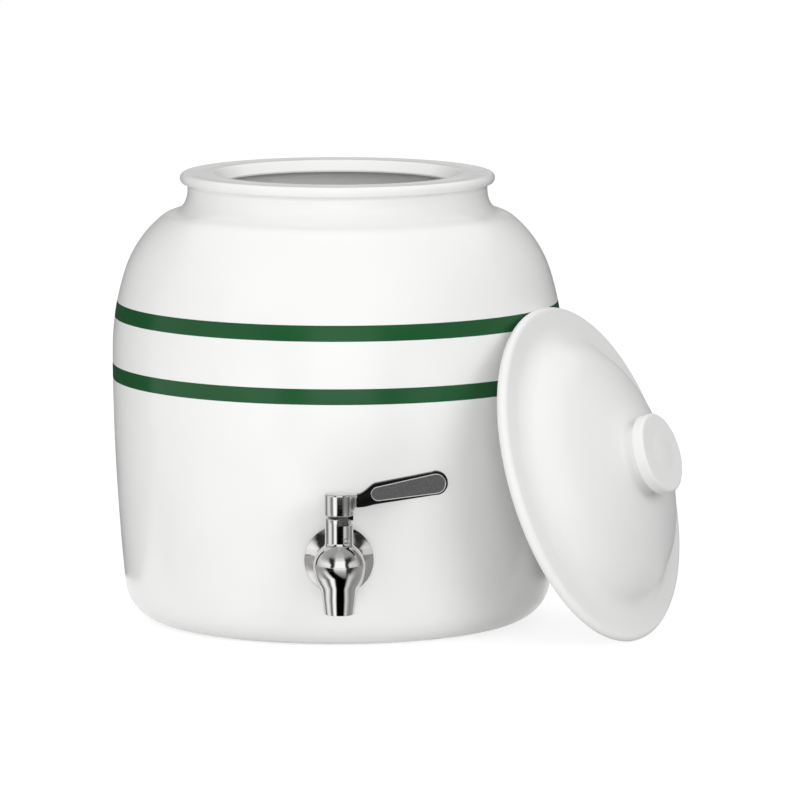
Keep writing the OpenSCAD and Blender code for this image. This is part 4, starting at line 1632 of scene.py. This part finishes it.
@dataclass
class Studio:
    """Pale floor, white surroundings, lamps, cards and the camera."""

    ambient: float = 0.6
    floor_glow: float = 0.79
    floor_tone: float = 0.36
    floor_bounce: float = 0.95
    dim_bounce: float = 0.3
    dim_from: Pair = (0.14, 0.26)
    floor_half: float = 14.0
    floor_z: float = -1e-4
    eye: Triple = (-0.02, -4.3, 0.7)
    target: Triple = (0.03744, 0.0, 0.13085)
    focal_px: float = 7216.8
    image_px: float = 800.0
    sensor_mm: float = 36.0
    lamps: tuple[Lamp, ...] = (
        Lamp("key", (-2.2, -2.0, 1.6), (1.6, 1.4), 15.0),
        Lamp("fill", (0.0, -4.2, 0.75), (1.4, 1.0), 27.0),
        Lamp("side", (1.9, -2.3, 1.3), (1.6, 1.2), 22.0),
        Lamp("top", (0.0, 0.3, 2.4), (1.2, 1.2), 8.0),
    )
    cards: tuple[Card, ...] = (
        Card("near_card", (
            (0.012, 0.002, LEVEL), (0.062, 0.002, LEVEL), (0.062, 0.017, LEVEL), (0.062, 0.027, SLANT_3),
            (0.062, 0.04, SLANT_2), (0.062, 0.048, SLANT_1), (0.062, 0.0555, MIDDLE),
        )),
        Card("far_card", (
            (0.064, 0.001, SOFT), (0.3, 0.001, SOFT), (0.3, 0.012, LEVEL), (0.3, 0.04, LEVEL),
            (0.3, 0.042, HUB), (0.3, 0.0565, HUB), (0.3, 0.06, EVEN), (0.3, 0.095, EVEN), (0.3, 0.118, LOW),
            (0.3, 0.158, MID), (0.3, 0.2, RAISED), (0.3, 0.26, HIGH), (0.3, 0.4, CROWN), (0.02, 0.56, SOFT),
        )),
        Card("left_flag", FLAG, (-168, -100), (0.0, 0.0)),
        Card("right_flag", FLAG, (100, 168), (0.0, 0.0)),
        Card("back_flag", ((1.4, 0.002, DIM), (1.4, 1.2, DIM)), (168, 192), (0.0, 0.0)),
    )

    def shown_rays(self, g: Graph) -> Socket:
        """The greatest of three ray tests, so that mirrors and glass show what the camera sees.

        Args:
            g: The graph that asks.

        Returns:
            One for rays from the camera, a mirror or glass, and zero for light bounced off dull surfaces.
        """
        path = g.add("LightPath")
        total = path.outputs["Is Camera Ray"]
        for name in ("Is Glossy Ray", "Is Transmission Ray"):
            node = g.add("Math", total, path.outputs[name])
            node.operation = "MAXIMUM"
            total = node.outputs[0]
        return total

    def floor(self) -> None:
        """A wide pale floor that looks white, keeps the part's shadow and throws back less at the right."""
        mesh = bpy.data.meshes.new("floor")
        s, z = self.floor_half, self.floor_z
        mesh.from_pydata([(-s, -s, z), (s, -s, z), (s, s, z), (-s, s, z)], [], [(0, 1, 2, 3)])
        g = Graph(bpy.data.materials.new("pale_floor"))
        glow = g.add("Emission", Color=WHITE, Strength=self.floor_glow)
        shade = g.add("BsdfDiffuse", Color=(self.floor_tone,) * 3)
        seen = g.add("AddShader", glow.outputs[0], shade.outputs[0])
        across = g.add("SeparateXYZ", Vector=g.place()).outputs["X"]
        dim = g.span(across, *self.dim_from, 0, 1)
        dull = g.add("BsdfDiffuse", Color=g.blend(dim, (self.floor_bounce,) * 3, (self.dim_bounce,) * 3))
        mix = g.add("MixShader", self.shown_rays(g), dull.outputs[0], seen.outputs[0])
        mesh.materials.append(g.close(mix))
        obj = added("floor", mesh)

    def surroundings(self) -> None:
        """White to the camera and in mirrors, and an even soft light otherwise."""
        g = Graph(bpy.data.worlds.new("white_room"), "OutputWorld")
        strength = g.span(self.shown_rays(g), 0, 1, self.ambient, 1.0)
        bpy.context.scene.world = g.close(g.add("Background", Color=WHITE, Strength=strength))

    def camera(self) -> None:
        """The camera at the photograph's angle, with its focal length in millimetres from pixels."""
        data = bpy.data.cameras.new("camera")
        data.sensor_width = self.sensor_mm
        data.lens = self.focal_px * self.sensor_mm / self.image_px
        data.clip_end = 100.0
        obj = added("camera", data)
        aimed(obj, self.eye, self.target)
        bpy.context.scene.camera = obj

    def build(self) -> None:
        """Set up the whole studio."""
        self.camera()
        self.floor()
        self.surroundings()
        for part in (*self.lamps, *self.cards):
            part.build()
        bpy.context.scene.view_settings.view_transform = "Standard"


def write_sizes() -> None:
    """Bring the view layer up to date.
    """
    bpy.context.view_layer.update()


def main() -> None:
    """Build the part's pieces in order, dress the rest and light it."""
    logging.basicConfig(level=logging.INFO, format="%(name)s %(message)s")
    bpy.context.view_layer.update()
    for part in (Vessel(), Lid(), TapBody(), Lever()):
        part.build()
    Fittings().dress()
    Studio().build()
    write_sizes()


if __name__ == "__main__":
    main()
